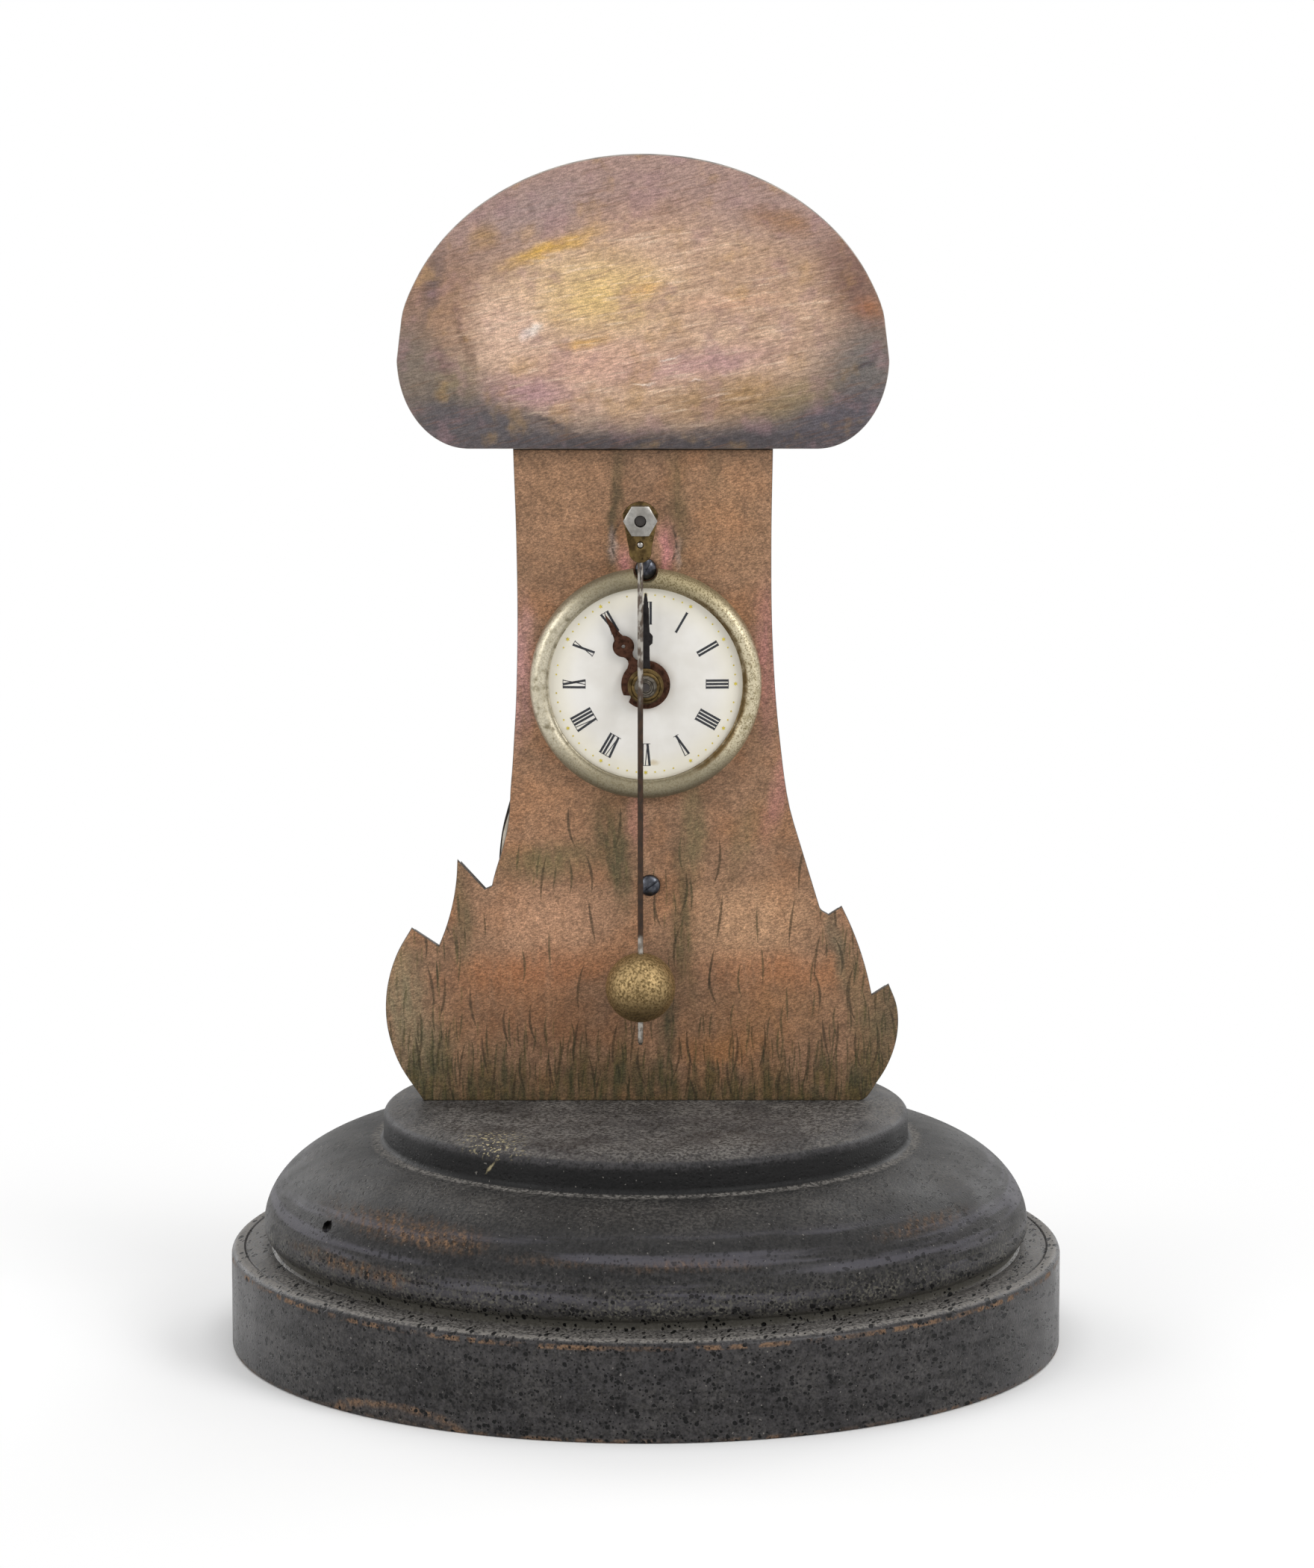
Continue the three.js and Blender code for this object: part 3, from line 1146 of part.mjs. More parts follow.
function crutchNut() {
  const shape = hexagon(CRUTCH_NUT_WIDTH, PALLET_ARBOR_RADIUS + RUN_CLEARANCE);
  return slab(shape, crutchNutFront, crutchFront);
}

function crutchPin() {
  const pin = rod(CRUTCH_PIN_RADIUS, crutchFront - SEAT_GAP, rodDepth + ROD_EYE_THICKNESS / 2, TINY);
  return pin.translate([0, 0, -CRUTCH_PIN_DROP]);
}

function pendulumRod() {
  const end = -PENDULUM_LENGTH - BOB_RADIUS - ROD_BELOW_BOB;
  const top = -CRUTCH_PIN_DROP;
  const wire = turnedUpright([[0, end], [ROD_RADIUS, end], [ROD_RADIUS, top], [0, top]], TINY);
  const half = ROD_EYE_THICKNESS / 2;
  const drop = [0, 0, -CRUTCH_PIN_DROP];
  const eye = rod(ROD_EYE_RADIUS, rodDepth - half, rodDepth + half, SMALL).translate(drop);
  const bore = drill(CRUTCH_PIN_RADIUS + RUN_CLEARANCE, rodDepth, rodDepth, SMALL).translate(drop);
  return wire.translate([0, rodDepth, 0]).add(eye).subtract(bore);
}

function bob() {
  const bore = ROD_RADIUS + RUN_CLEARANCE;
  const mouth = THREE.MathUtils.radToDeg(Math.acos(bore / BOB_RADIUS));
  const outside = ellipseArc([0, 0], [BOB_RADIUS, BOB_RADIUS], -mouth, mouth, BALL_STEPS);
  const ball = turnedUpright([...outside, outside[0]], ROUND);
  return ball.translate([0, rodDepth, -PENDULUM_LENGTH]);
}

// Assembly
const clock = new THREE.Group();
const front = new THREE.Group();
const movement = new THREE.Group();
front.position.z = baseHeight;
movement.position.z = dialHeight;
clock.add(front);
front.add(movement);

addPiece(clock, 'turned_base', turnedBase(), EBONISED_OAK);
addPiece(front, 'backing_plate', backingPlate(), DARK_METAL);
addPiece(front, 'stem_face', stemFace(), PAINTED_STEM);
addPiece(front, 'cap_face', capFace(), PAINTED_CAP);
addPiece(movement, 'dial', dial(), ENAMEL);
addPiece(movement, 'bezel', bezel(), WORN_GILT);
addPiece(movement, 'mount_screw_upper', mountScrew(), BLUED_STEEL, UPPER_SCREW);
addPiece(movement, 'mount_screw_lower', mountScrew(), BLUED_STEEL, LOWER_SCREW);

addPiece(movement, 'front_plate', frontPlate(), BRASS);
addPiece(movement, 'back_plate', backPlate(), BRASS);
pillarPlaces.forEach(([name, x, z]) => {
  addPiece(movement, `pillar_${name}`, pillar(), BRASS, [x, z]);
  addPiece(movement, `pillar_nut_${name}`, pillarNut(), STEEL, [x, z]);
});
addPiece(movement, 'pallet_cock', palletCock(), BRASS, palletPlace);
cockScrewPlaces.forEach(([name, x, z]) => {
  addPiece(movement, `cock_screw_${name}`, smallScrew(rearPlateBack + COCK_THICKNESS), BLUED_STEEL, [x, z]);
});

addPiece(movement, 'barrel', barrel(), BRASS, barrelPlace);
addPiece(movement, 'barrel_cover', barrelCover(), BRASS, barrelPlace);
addPiece(movement, 'mainspring', mainspring(), BLUED_STEEL, barrelPlace);
addPiece(movement, 'winding_arbor', windingArbor(), STEEL, barrelPlace);
addPiece(movement, 'ratchet_wheel', ratchetWheel(), STEEL, barrelPlace);
addPiece(movement, 'click', click(), STEEL, clickPlace);
addPiece(movement, 'click_screw', smallScrew(ratchetBack), BLUED_STEEL, clickPlace);
addPiece(movement, 'click_spring', clickSpring(), BLUED_STEEL, clickSpringPlace);
addPiece(movement, 'click_spring_screw', smallScrew(ratchetBack), BLUED_STEEL, clickSpringPlace);

addPiece(movement, 'centre_arbor', centreArbor(), STEEL);
addPiece(movement, 'centre_wheel', centreWheel(), BRASS);
addPiece(movement, 'third_arbor', thirdArbor(), STEEL, thirdPlace);
addPiece(movement, 'third_wheel', thirdWheel(), BRASS, thirdPlace);
addPiece(movement, 'escape_arbor', escapeArbor(), STEEL, escapePlace);
addPiece(movement, 'escape_wheel', escapeWheel(), BRASS, escapePlace);

addPiece(movement, 'cannon_pinion', cannonPinion(), STEEL);
addPiece(movement, 'minute_wheel', minuteWheel(), BRASS, minutePlace);
addPiece(movement, 'minute_wheel_post', minutePost(), STEEL, minutePlace);
addPiece(movement, 'hour_wheel', hourWheel(), BRASS);
addPiece(movement, 'hour_hand', hourHand(), RUSTY_STEEL);
addPiece(movement, 'minute_hand', minuteHand(), BLUED_STEEL);
addPiece(movement, 'hand_collet', handCollet(), OLD_BRASS);
addPiece(movement, 'hand_nut', handNut(), STEEL);

addPiece(movement, 'pallet_arbor', palletArbor(), STEEL, palletPlace);
addPiece(movement, 'anchor', anchor(), STEEL, palletPlace);
addPiece(movement, 'crutch', crutch(), OLD_BRASS, palletPlace);
addPiece(movement, 'crutch_nut', crutchNut(), STEEL, palletPlace);
addPiece(movement, 'crutch_pin', crutchPin(), STEEL, palletPlace);
addPiece(movement, 'pendulum_rod', pendulumRod(), RUSTY_STEEL, palletPlace);
addPiece(movement, 'bob', bob(), OLD_BRASS, palletPlace);

export default clock;
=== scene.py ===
import json
import math
import random

import bmesh
import bpy
from mathutils import Matrix, Vector

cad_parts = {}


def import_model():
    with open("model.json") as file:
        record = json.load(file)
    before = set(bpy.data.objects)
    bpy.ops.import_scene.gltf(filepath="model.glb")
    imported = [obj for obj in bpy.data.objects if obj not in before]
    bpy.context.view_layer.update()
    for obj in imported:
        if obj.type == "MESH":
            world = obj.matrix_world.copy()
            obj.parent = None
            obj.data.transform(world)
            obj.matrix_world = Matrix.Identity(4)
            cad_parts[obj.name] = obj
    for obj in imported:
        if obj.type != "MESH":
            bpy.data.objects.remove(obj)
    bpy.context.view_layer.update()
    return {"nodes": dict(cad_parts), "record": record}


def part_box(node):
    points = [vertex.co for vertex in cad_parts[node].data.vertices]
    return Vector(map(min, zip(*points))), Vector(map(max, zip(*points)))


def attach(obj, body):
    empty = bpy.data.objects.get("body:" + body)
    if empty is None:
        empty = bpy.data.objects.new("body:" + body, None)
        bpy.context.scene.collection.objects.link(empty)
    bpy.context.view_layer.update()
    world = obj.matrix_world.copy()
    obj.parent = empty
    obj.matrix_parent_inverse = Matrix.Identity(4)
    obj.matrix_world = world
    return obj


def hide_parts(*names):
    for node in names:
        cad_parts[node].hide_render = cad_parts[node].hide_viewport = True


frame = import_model()

MM = 0.001
FLAT = 0.002
MERGE = 0.0005
SHARP_ANGLE = math.radians(32)
CORNER_ANGLE = math.radians(50)

# Turned base
FOOT_ROUND = 0.5
PLINTH_HEIGHT = 15.4
PLINTH_ROUND = 1.2
GROOVE_INSET = 0.7
GROOVE_WIDTH = 0.4
GROOVE_DEPTH = 0.3
RECESS_RADIUS = 57.7
RECESS_WIDTH = 0.4
RECESS_RISE = 0.3
OVOLO_FOOT = 16.7
OVOLO_WIDEST = 18.9
OVOLO_RADIUS = 59.2
OVOLO_TOP = 31.8
OVOLO_INNER = 41.7
COVE_RISE = 1.0
DRUM_RADIUS = 40.6
DRUM_SHOULDER = 36.8
SHOULDER_DROP = 1.2
SHOULDER_ROUND = (1.4, 1.3)
DRUM_FLAT_RADIUS = 35.6
DRUM_EASE = (1.5, 0.25)
TENON_HALF = 25
TENON_GAP = 0.15
PIT_PLACE = (-47.9, -31.4, 24.8)
PIT = [(0, -1.6), (0.9, -0.3), (1.15, 0.5), (0, 2.5)]
GRAIN_TILT = (math.radians(7), 0, math.radians(14))
PITH_PLACE = (21, 74)
RING_WIDTH = 3.1
TICK_PITCH = 1.3

# Slip: a stretch of the stem's left edge where the face stands back and the backing's edge shows
SLIP_FOOT = 71.5
SLIP_TOP = 88
SLIP_LEFT = -24.9
SLIP_REACH = 0.6
SLIP_LIP = 0.1
SLIP_LINE = 0.24
LINING_LAP = 0.3
LINING_SIDE = 0.2
LINING_DEPTH = 0.3
LINING_GAP = 0.02

# Scuffed ring round the crutch's hole
SCUFF_CENTRE = (-0.2, -1.2, 124.6)
SCUFF_RADIUS = 4.9

# Dial and hands, about the centre arbor
DIAL_RADIUS = 15.2
DIAL_RIM = 1.0
DIAL_DOME = 0.7
DIAL_HOLE = 1.65
DIAL_FOOT = 2.4
DIAL_EASE = 0.15
NUMERAL_FOOT = 9.2
NUMERAL_TOP = 12.7
THICK_STROKE = 0.35
THIN_STROKE = 0.12
SERIF_STROKE = THIN_STROKE * 0.7
SERIF_INSET = 0.06
INK_HEIGHT = 0.03
INK_STEPS = 5
DOT_RING = 13.75
DOT_RADIUS = 0.14
STAR_RADIUS = 0.36
STAR_WAIST = 0.45
WORN_DOTS = 0.1
BEZEL_OPENING = 14.85
BEZEL_CREST = 16.3
BEZEL_REBATE = 15.35
BEZEL_LIP = 1.05
BEZEL_SIDE = 0.9
NOTCH_RADIUS = 1.9
SHOWN_HOUR = 11
HAND_BEVEL = 0.07
HOUR_HUB = 3.75
HOUR_NECK = 0.62
HOUR_BORE = 1.55
HOUR_POMME_PLACE = 6.8
HOUR_POMME = 1.65
HOUR_TIP = 12.4
HOUR_CHIP = [(-3.0, -0.62), (-2.85, -0.3), (-3.15, -0.12)]
CHIP_ANGLES = (181, 194)
MINUTE_HUB = 2.2
MINUTE_BORE = 1.15
MINUTE_TIP = 14.2
COLLET_BORE = 0.66

# Screws and nuts
SCREW_SHANK = 0.46
SLOT_HALF = 0.17
NUT_CHAMFER = 0.96
NUT_REACH = 0.3

# Pendulum
ROD_WIDTH = 0.84
ROD_DEPTH = 0.62
ROD_EYE = 1.1
ROD_BORE = 0.52
ROD_SLIT = 0.12
SLIT_FROM_EYE = (7.5, 1.6)
BOB_BORE = 0.5

# Movement
SINK = [(0, -0.45), (0.62, -0.4), (1.25, 0.02), (1.25, 1), (0, 1)]
PILLAR_STUB = 0.98
BARREL_FLOOR = 1.0
BARREL_WALL = 11.4
BARREL_INNER = 10.7
COVER_BORE = 1.58
WINDING_RADIUS = 1.5
SQUARE_HALF = 1.0
CORE_GAP = 0.3
SLOT_TURNS = {"cock_screw_left": 20, "cock_screw_right": 75, "click_screw": 130, "click_spring_screw": 50}

# Studio, in metres, degrees and, for the lens, millimetres
FLOOR_HALF = 3.0
FLOOR_FADE = (0.07, 0.19)
FLOOR_COLOUR = (0.93, 0.93, 0.93, 1)
SOFT_LIGHT = 0.42
LIT_PLACE = Vector((0, 0, 0.09))
CAMERA_PLACE = (0.00173, -1.0, 0.253)
CAMERA_DROP = 9.41
LENS_LENGTH = 151.35
SENSOR = 36.0

BODY_OF = {node: body for body, nodes in frame["record"]["behaviour"]["bodies"].items() for node in nodes}
SLOT_OF = {row["node"]: row["material_slot"] for row in frame["record"]["subparts"]}


# The frame, in millimetres
def box(node):
    low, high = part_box(node)
    return low / MM, high / MM


def centre(node):
    low, high = box(node)
    return (low + high) / 2


def axis_of(node):
    """A place on the axis, from front to back, through a node's middle."""
    middle = centre(node)
    return (middle.x, 0, middle.z)


def depths(node):
    low, high = box(node)
    return low.y, high.y


def half_width(node):
    low, high = box(node)
    return (high.x - low.x) / 2


BASE_RADIUS = half_width("turned_base")
BASE_HEIGHT = box("turned_base")[1].z


# Meshes
def add_object(name, data):
    piece = bpy.data.objects.new(name, data)
    bpy.context.scene.collection.objects.link(piece)
    return piece


def smooth(mesh):
    mesh.shade_smooth()
    mesh.set_sharp_from_angle(angle=SHARP_ANGLE)


def finish_mesh(name, built):
    """Turns a bmesh in millimetres into an object in metres."""
    bmesh.ops.remove_doubles(built, verts=built.verts, dist=MERGE)
    bmesh.ops.recalc_face_normals(built, faces=built.faces)
    bmesh.ops.scale(built, vec=(MM, MM, MM), verts=built.verts)
    mesh = bpy.data.meshes.new(name)
    built.to_mesh(mesh)
    built.free()
    smooth(mesh)
    return add_object(name, mesh)


def trim(piece, node, material):
    """A small piece that goes with a CAD node and replaces nothing."""
    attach(piece, BODY_OF[node])
    piece.data.materials.append(material)


def dress(piece, node, material=None):
    """The piece stands for a CAD node, moves with its body and has its slot's finish unless another is given.
    """
    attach(piece, BODY_OF[node])
    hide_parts(node)
    piece.data.materials.append(material or FINISHES[SLOT_OF[node]])
    return piece


def edge_finish(piece, material):
    """Gives a flat piece's rim its own finish."""
    piece.data.materials.append(material)
    for face in piece.data.polygons:
        if abs(face.normal.y) < 0.75:
            face.material_index = 1


def arc(centre_at, radii, start, end, steps):
    """Points of an ellipse's arc, between two angles in degrees."""
    points = []
    for i in range(steps + 1):
        angle = math.radians(start + (end - start) * i / steps)
        points.append((centre_at[0] + radii[0] * math.cos(angle), centre_at[1] + radii[1] * math.sin(angle)))
    return points


def circle(radius, sides, at=(0, 0)):
    return arc(at, (radius, radius), 0, 360, sides)[:-1]


def moved(loop, at, turn=0.0):
    """An outline turned anticlockwise by degrees and moved to a place."""
    cos, sin = math.cos(math.radians(turn)), math.sin(math.radians(turn))
    return [(at[0] + x * cos - z * sin, at[1] + x * sin + z * cos) for x, z in loop]


def mirrored(right):
    """A closed outline from its right half, listed from the foot to the tip."""
    return right + [(-x, z) for x, z in reversed(right)]


def turned(name, profile, at, segments, upright=False):
    """A turned piece: points are a radius and a place along the axis, and end on it or where they began."""
    built = bmesh.new()
    closed = profile[0] == profile[-1]
    rings = []
    for radius, along in profile[:-1] if closed else profile:
        ring = []
        for i in range(segments if radius > FLAT else 1):
            angle = math.tau * i / segments
            x, other = radius * math.cos(angle), radius * math.sin(angle)
            ring.append(built.verts.new((x, other, along) if upright else (x, along, other)))
        rings.append(ring)
    pairs = list(zip(rings, rings[1:]))
    if closed:
        pairs.append((rings[-1], rings[0]))
    for first, second in pairs:
        for i in range(segments):
            corners = [first[i % len(first)], first[(i + 1) % len(first)]]
            corners += [second[(i + 1) % len(second)], second[i % len(second)]]
            corners = list(dict.fromkeys(corners))
            if len(corners) > 2:
                built.faces.new(corners)
    bmesh.ops.translate(built, vec=Vector(at), verts=built.verts)
    return finish_mesh(name, built)


def turned_node(node, profile, segments):
    """A turned stand-in for a CAD node, on the node's own axis."""
    return turned(node + "_fine", profile, axis_of(node), segments)


def plate(name, loops, front, back, bevel):
    """A flat piece with rounded edges: closed outlines as x and z, the holes among them."""
    curve = bpy.data.curves.new(name, "CURVE")
    curve.dimensions = "2D"
    curve.fill_mode = "BOTH"
    curve.extrude = (back - front) / 2 - bevel
    curve.bevel_depth = bevel
    curve.bevel_resolution = 1
    curve.offset = -bevel
    for loop in loops:
        spline = curve.splines.new("POLY")
        spline.points.add(len(loop) - 1)
        for point, (x, z) in zip(spline.points, loop):
            point.co = (x, z, 0, 1)
        spline.use_cyclic_u = True
    drawn = add_object(name, curve)
    bpy.context.view_layer.update()
    built = bmesh.new()
    built.from_mesh(drawn.to_mesh())
    bpy.data.objects.remove(drawn)
    bpy.data.curves.remove(curve)
    stand = Matrix.Translation((0, (front + back) / 2, 0)) @ Matrix.Rotation(math.pi / 2, 4, "X")
    bmesh.ops.transform(built, matrix=stand, verts=built.verts)
    return finish_mesh(name, built)


def cad_loops(node):
    """The closed outlines of a CAD node's front face, the widest first."""
    mesh = frame["nodes"][node].data
    spots = [tuple(round(value / MM, 3) for value in vertex.co) for vertex in mesh.vertices]
    front = min(spot[1] for spot in spots)
    edges = set()
    for face in mesh.polygons:
        corners = [spots[i] for i in face.vertices]
        if any(abs(corner[1] - front) > FLAT for corner in corners):
            continue
        for edge in zip(corners, corners[1:] + corners[:1]):
            if edge[::-1] in edges:
                edges.remove(edge[::-1])
            else:
                edges.add(edge)
    following = dict(sorted(edges))
    loops = []
    while following:
        start, spot = following.popitem()
        loop = [start]
        while spot != start:
            loop.append(spot)
            spot = following.pop(spot)
        loops.append([(x, z) for x, _, z in loop])
    return sorted(loops, key=lambda loop: -max(x for x, _ in loop) + min(x for x, _ in loop))


def refined(loop, steps=4):
    """The same closed outline with its gentle bends rounded; corners and long straight runs stay."""
    spots = [Vector(spot) for spot in loop]
    count = len(spots)
    runs = [spots[(i + 1) % count] - spots[i] for i in range(count)]
    lengths = [run.length for run in runs]
    straight = [lengths[i] > 2.2 * min(lengths[i - 1], lengths[(i + 1) % count]) for i in range(count)]

    def heading(i, run):
        before, after = runs[i - 1], runs[i]
        if before.angle(after) > CORNER_ANGLE:
            return runs[run].normalized()
        if straight[i - 1] or straight[i]:
            return (before if straight[i - 1] else after).normalized()
        return (before / before.length_squared + after / after.length_squared).normalized()

    fine = []
    for i in range(count):
        start, end, length = spots[i], spots[(i + 1) % count], lengths[i]
        leave, arrive = heading(i, i) * length, heading((i + 1) % count, i) * length
        for k in range(1 if straight[i] else steps):
            t = k / steps
            spot = start * (2 * t**3 - 3 * t**2 + 1) + leave * (t**3 - 2 * t**2 + t)
            spot = spot + end * (3 * t**2 - 2 * t**3) + arrive * (t**3 - t**2)
            fine.append(tuple(spot))
    return fine


def dense(loop, step=0.8):
    """The same closed outline with points added along its long runs."""
    spots = []
    for start, end in zip(loop, loop[1:] + loop[:1]):
        count = math.ceil(math.dist(start, end) / step)
        spots += [tuple(Vector(start).lerp(Vector(end), i / count)) for i in range(count)]
    return spots


def refined_plate(node, bevel, steps=4):
    """A finer stand-in for a flat CAD node, from the node's own outlines."""
    return plate(node + "_fine", [refined(loop, steps) for loop in cad_loops(node)], *depths(node), bevel)


def combine(piece, other, operation="DIFFERENCE"):
    """Cuts, joins or intersects one piece with another, which is used up."""
    modifier = piece.modifiers.new(operation, "BOOLEAN")
    modifier.operation = operation
    modifier.solver = "EXACT"
    modifier.object = other
    bpy.context.view_layer.update()
    mesh = bpy.data.meshes.new_from_object(piece.evaluated_get(bpy.context.evaluated_depsgraph_get()))
    piece.modifiers.clear()
    piece.data = mesh
    bpy.data.objects.remove(other)
    smooth(mesh)
    return piece


def block(low, high, at=(0, 0, 0), turn=0.0):
    """A plain cutter between two corners, turned about the y axis by degrees and moved to a place."""
    built = bmesh.new()
    bmesh.ops.create_cube(built, size=1.0)
    low, high = Vector(low), Vector(high)
    bmesh.ops.scale(built, vec=high - low, verts=built.verts)
    bmesh.ops.translate(built, vec=(low + high) / 2, verts=built.verts)
    stand = Matrix.Translation(Vector(at)) @ Matrix.Rotation(math.radians(-turn), 4, "Y")
    bmesh.ops.transform(built, matrix=stand, verts=built.verts)
    return finish_mesh("cutter", built)


# Colours and node finishes
def shade(code):
    """A colour written as six hex digits, as linear light."""
    parts = [int(code[i : i + 2], 16) / 255 for i in (0, 2, 4)]
    linear = [part / 12.92 if part <= 0.04045 else ((part + 0.055) / 1.055) ** 2.4 for part in parts]
    return (*linear, 1.0)


def add_node(tree, kind, inputs=None, **settings):
    """A shader node with its inputs linked or set."""
    node = tree.nodes.new("ShaderNode" + kind)
    for key, value in settings.items():
        setattr(node, key, value)
    for key, value in (inputs or {}).items():
        if isinstance(value, bpy.types.NodeSocket):
            tree.links.new(value, node.inputs[key])
        else:
            node.inputs[key].default_value = value
    return node


class Value:
    """A node's output, with which sums can be written."""

    def __init__(self, finish, socket):
        self.finish = finish
        self.socket = socket

    def __add__(self, other):
        return self.finish.math("ADD", self, other)

    def __sub__(self, other):
        return self.finish.math("SUBTRACT", self, other)

    def __rsub__(self, other):
        return self.finish.math("SUBTRACT", other, self)

    def __mul__(self, other):
        return self.finish.math("MULTIPLY", self, other)

    def __truediv__(self, other):
        return self.finish.math("DIVIDE", self, other)


class Finish:
    """A node material built up a layer at a time, on places in millimetres."""

    def __init__(self, name, **constants):
        self.material = bpy.data.materials.new(name)
        self.material.use_nodes = True
        self.tree = self.material.node_tree
        self.shader = self.tree.nodes["Principled BSDF"]
        for socket, value in constants.items():
            self.shader.inputs[socket.replace("_", " ").title().replace("Ior", "IOR")].default_value = value
        spot = self.add("TexCoord", output="Object")
        self.place = self.add("VectorMath", {0: spot, "Scale": 1 / MM}, operation="SCALE")
        self.colour = None

    def node(self, kind, inputs=None, **settings):
        """A node whose inputs may be values, numbers or, as text, a colour's hex code."""
        plain = dict(inputs or {})
        for key, value in plain.items():
            if isinstance(value, Value):
                plain[key] = value.socket
            elif isinstance(value, str):
                plain[key] = shade(value)
        return add_node(self.tree, kind, plain, **settings)

    def add(self, kind, inputs=None, output=0, **settings):
        return Value(self, self.node(kind, inputs, **settings).outputs[output])

    def math(self, operation, first, second=0.0):
        return self.add("Math", {0: first, 1: second}, operation=operation)

    def most(self, first, second):
        return self.math("MAXIMUM", first, second)

    def least(self, first, second):
        return self.math("MINIMUM", first, second)

    def apart(self, first, second):
        """The difference of two values, without its sign."""
        return self.math("ABSOLUTE", first - second)

    def vector(self, operation, first, second):
        return self.add("VectorMath", {0: first, 1: second}, operation=operation)

    def split(self, vector):
        return [Value(self, socket) for socket in self.node("SeparateXYZ", {0: vector}).outputs]

    def length(self, vector):
        return self.add("VectorMath", {0: vector}, "Value", operation="LENGTH")

    def noise(self, size, detail=3.0, place=None, stretch=None, output=0):
        """Soft noise whose features are about this many millimetres across, drawn out by stretch."""
        spot = place or self.place
        if stretch:
            spot = self.vector("DIVIDE", spot, stretch)
        return self.add("TexNoise", {"Vector": spot, "Scale": 1 / size, "Detail": detail}, output)

    def ramp(self, value, low, high, start=0.0, end=1.0):
        inputs = {0: value, 1: low, 2: high, 3: start, 4: end}
        return self.add("MapRange", inputs, interpolation_type="SMOOTHSTEP")

    def mix(self, share, first, second, blend="MIX"):
        return self.add("Mix", {0: share, 6: first, 7: second}, 2, data_type="RGBA", blend_type=blend)

    def lay(self, colour, share):
        """Lays a colour over what is there."""
        self.colour = self.mix(share, self.colour, colour)

    def darken(self, level):
        """Multiplies the colour by a grey level."""
        grey = self.add("CombineColor", {0: level, 1: level, 2: level})
        self.colour = self.mix(1.0, self.colour, grey, "MULTIPLY")

    def warped(self, size, reach, place=None):
        """Places pushed about by noise, so that what is drawn on them has an uneven edge."""
        spot = place or self.place
        push = self.vector("SUBTRACT", self.noise(size, 2.0, spot, output=1), (0.5, 0.5, 0.5))
        return self.vector("ADD", spot, self.vector("MULTIPLY", push, (reach, reach, reach)))

    def turned_place(self, degrees, place=None):
        """Places turned about the y axis, for strokes that lean."""
        return self.add("Mapping", {"Vector": place or self.place, "Rotation": (0, math.radians(degrees), 0)})

    def blob(self, place, x, z, wide, high, lean=0.0, soft=0.9):
        """A soft oval patch on the front: 1 inside, 0 outside."""
        inputs = {
            "Vector": place,
            "Location": (x, 0, z),
            "Rotation": (0, math.radians(-lean), 0),
            "Scale": (wide, 1e6, high),
        }
        spot = self.add("Mapping", inputs, vector_type="TEXTURE")
        return self.ramp(self.length(spot), 1 + soft / 2, 1 - soft)

    def done(self, relief, depth, roughness=None):
        """Links the colour, a fine relief with its depth in millimetres and a roughness that varies."""
        sockets = {"Base Color": self.colour, "Roughness": roughness}
        sockets["Normal"] = self.add("Bump", {"Height": relief, "Strength": 1.0, "Distance": depth * MM})
        for name, value in sockets.items():
            if value:
                self.tree.links.new(value.socket, self.shader.inputs[name])
        return self.material


def strokes(f, width, length, lean, thin, seed, fewer):
    """A mask of scattered pencil strokes, at most one to a cell, by the density at the cell's middle."""
    x, _, z = f.split(f.turned_place(lean))
    across = x / width
    column = f.math("FLOOR", across)
    shift = f.add("TexWhiteNoise", {"W": column + seed}, noise_dimensions="1D") * 7.0
    along = z / length + shift
    row = f.math("FLOOR", along)
    cell = f.add("CombineXYZ", {0: column, 1: row, 2: seed})
    aside, bend, present = f.split(f.add("TexWhiteNoise", {"Vector": cell}, 1, noise_dimensions="3D"))
    cell_x = (column + 0.5) * width
    cell_z = (row + 0.5 - shift) * length
    cell_middle = f.turned_place(-lean, f.add("CombineXYZ", {0: cell_x, 2: cell_z}))
    density = grass_density(f, cell_middle) - fewer
    run = f.math("FRACT", along)
    belly = run * (1.0 - run)
    middle = f.ramp(aside, 0.0, 1.0, 0.25, 0.75) + (bend - 0.5) * belly * 1.6
    away = f.apart(f.math("FRACT", across), middle)
    line = f.ramp(belly * (4.0 * thin) - away, 0.0, 0.5 * thin)
    return line * f.math("GREATER_THAN", density, present)


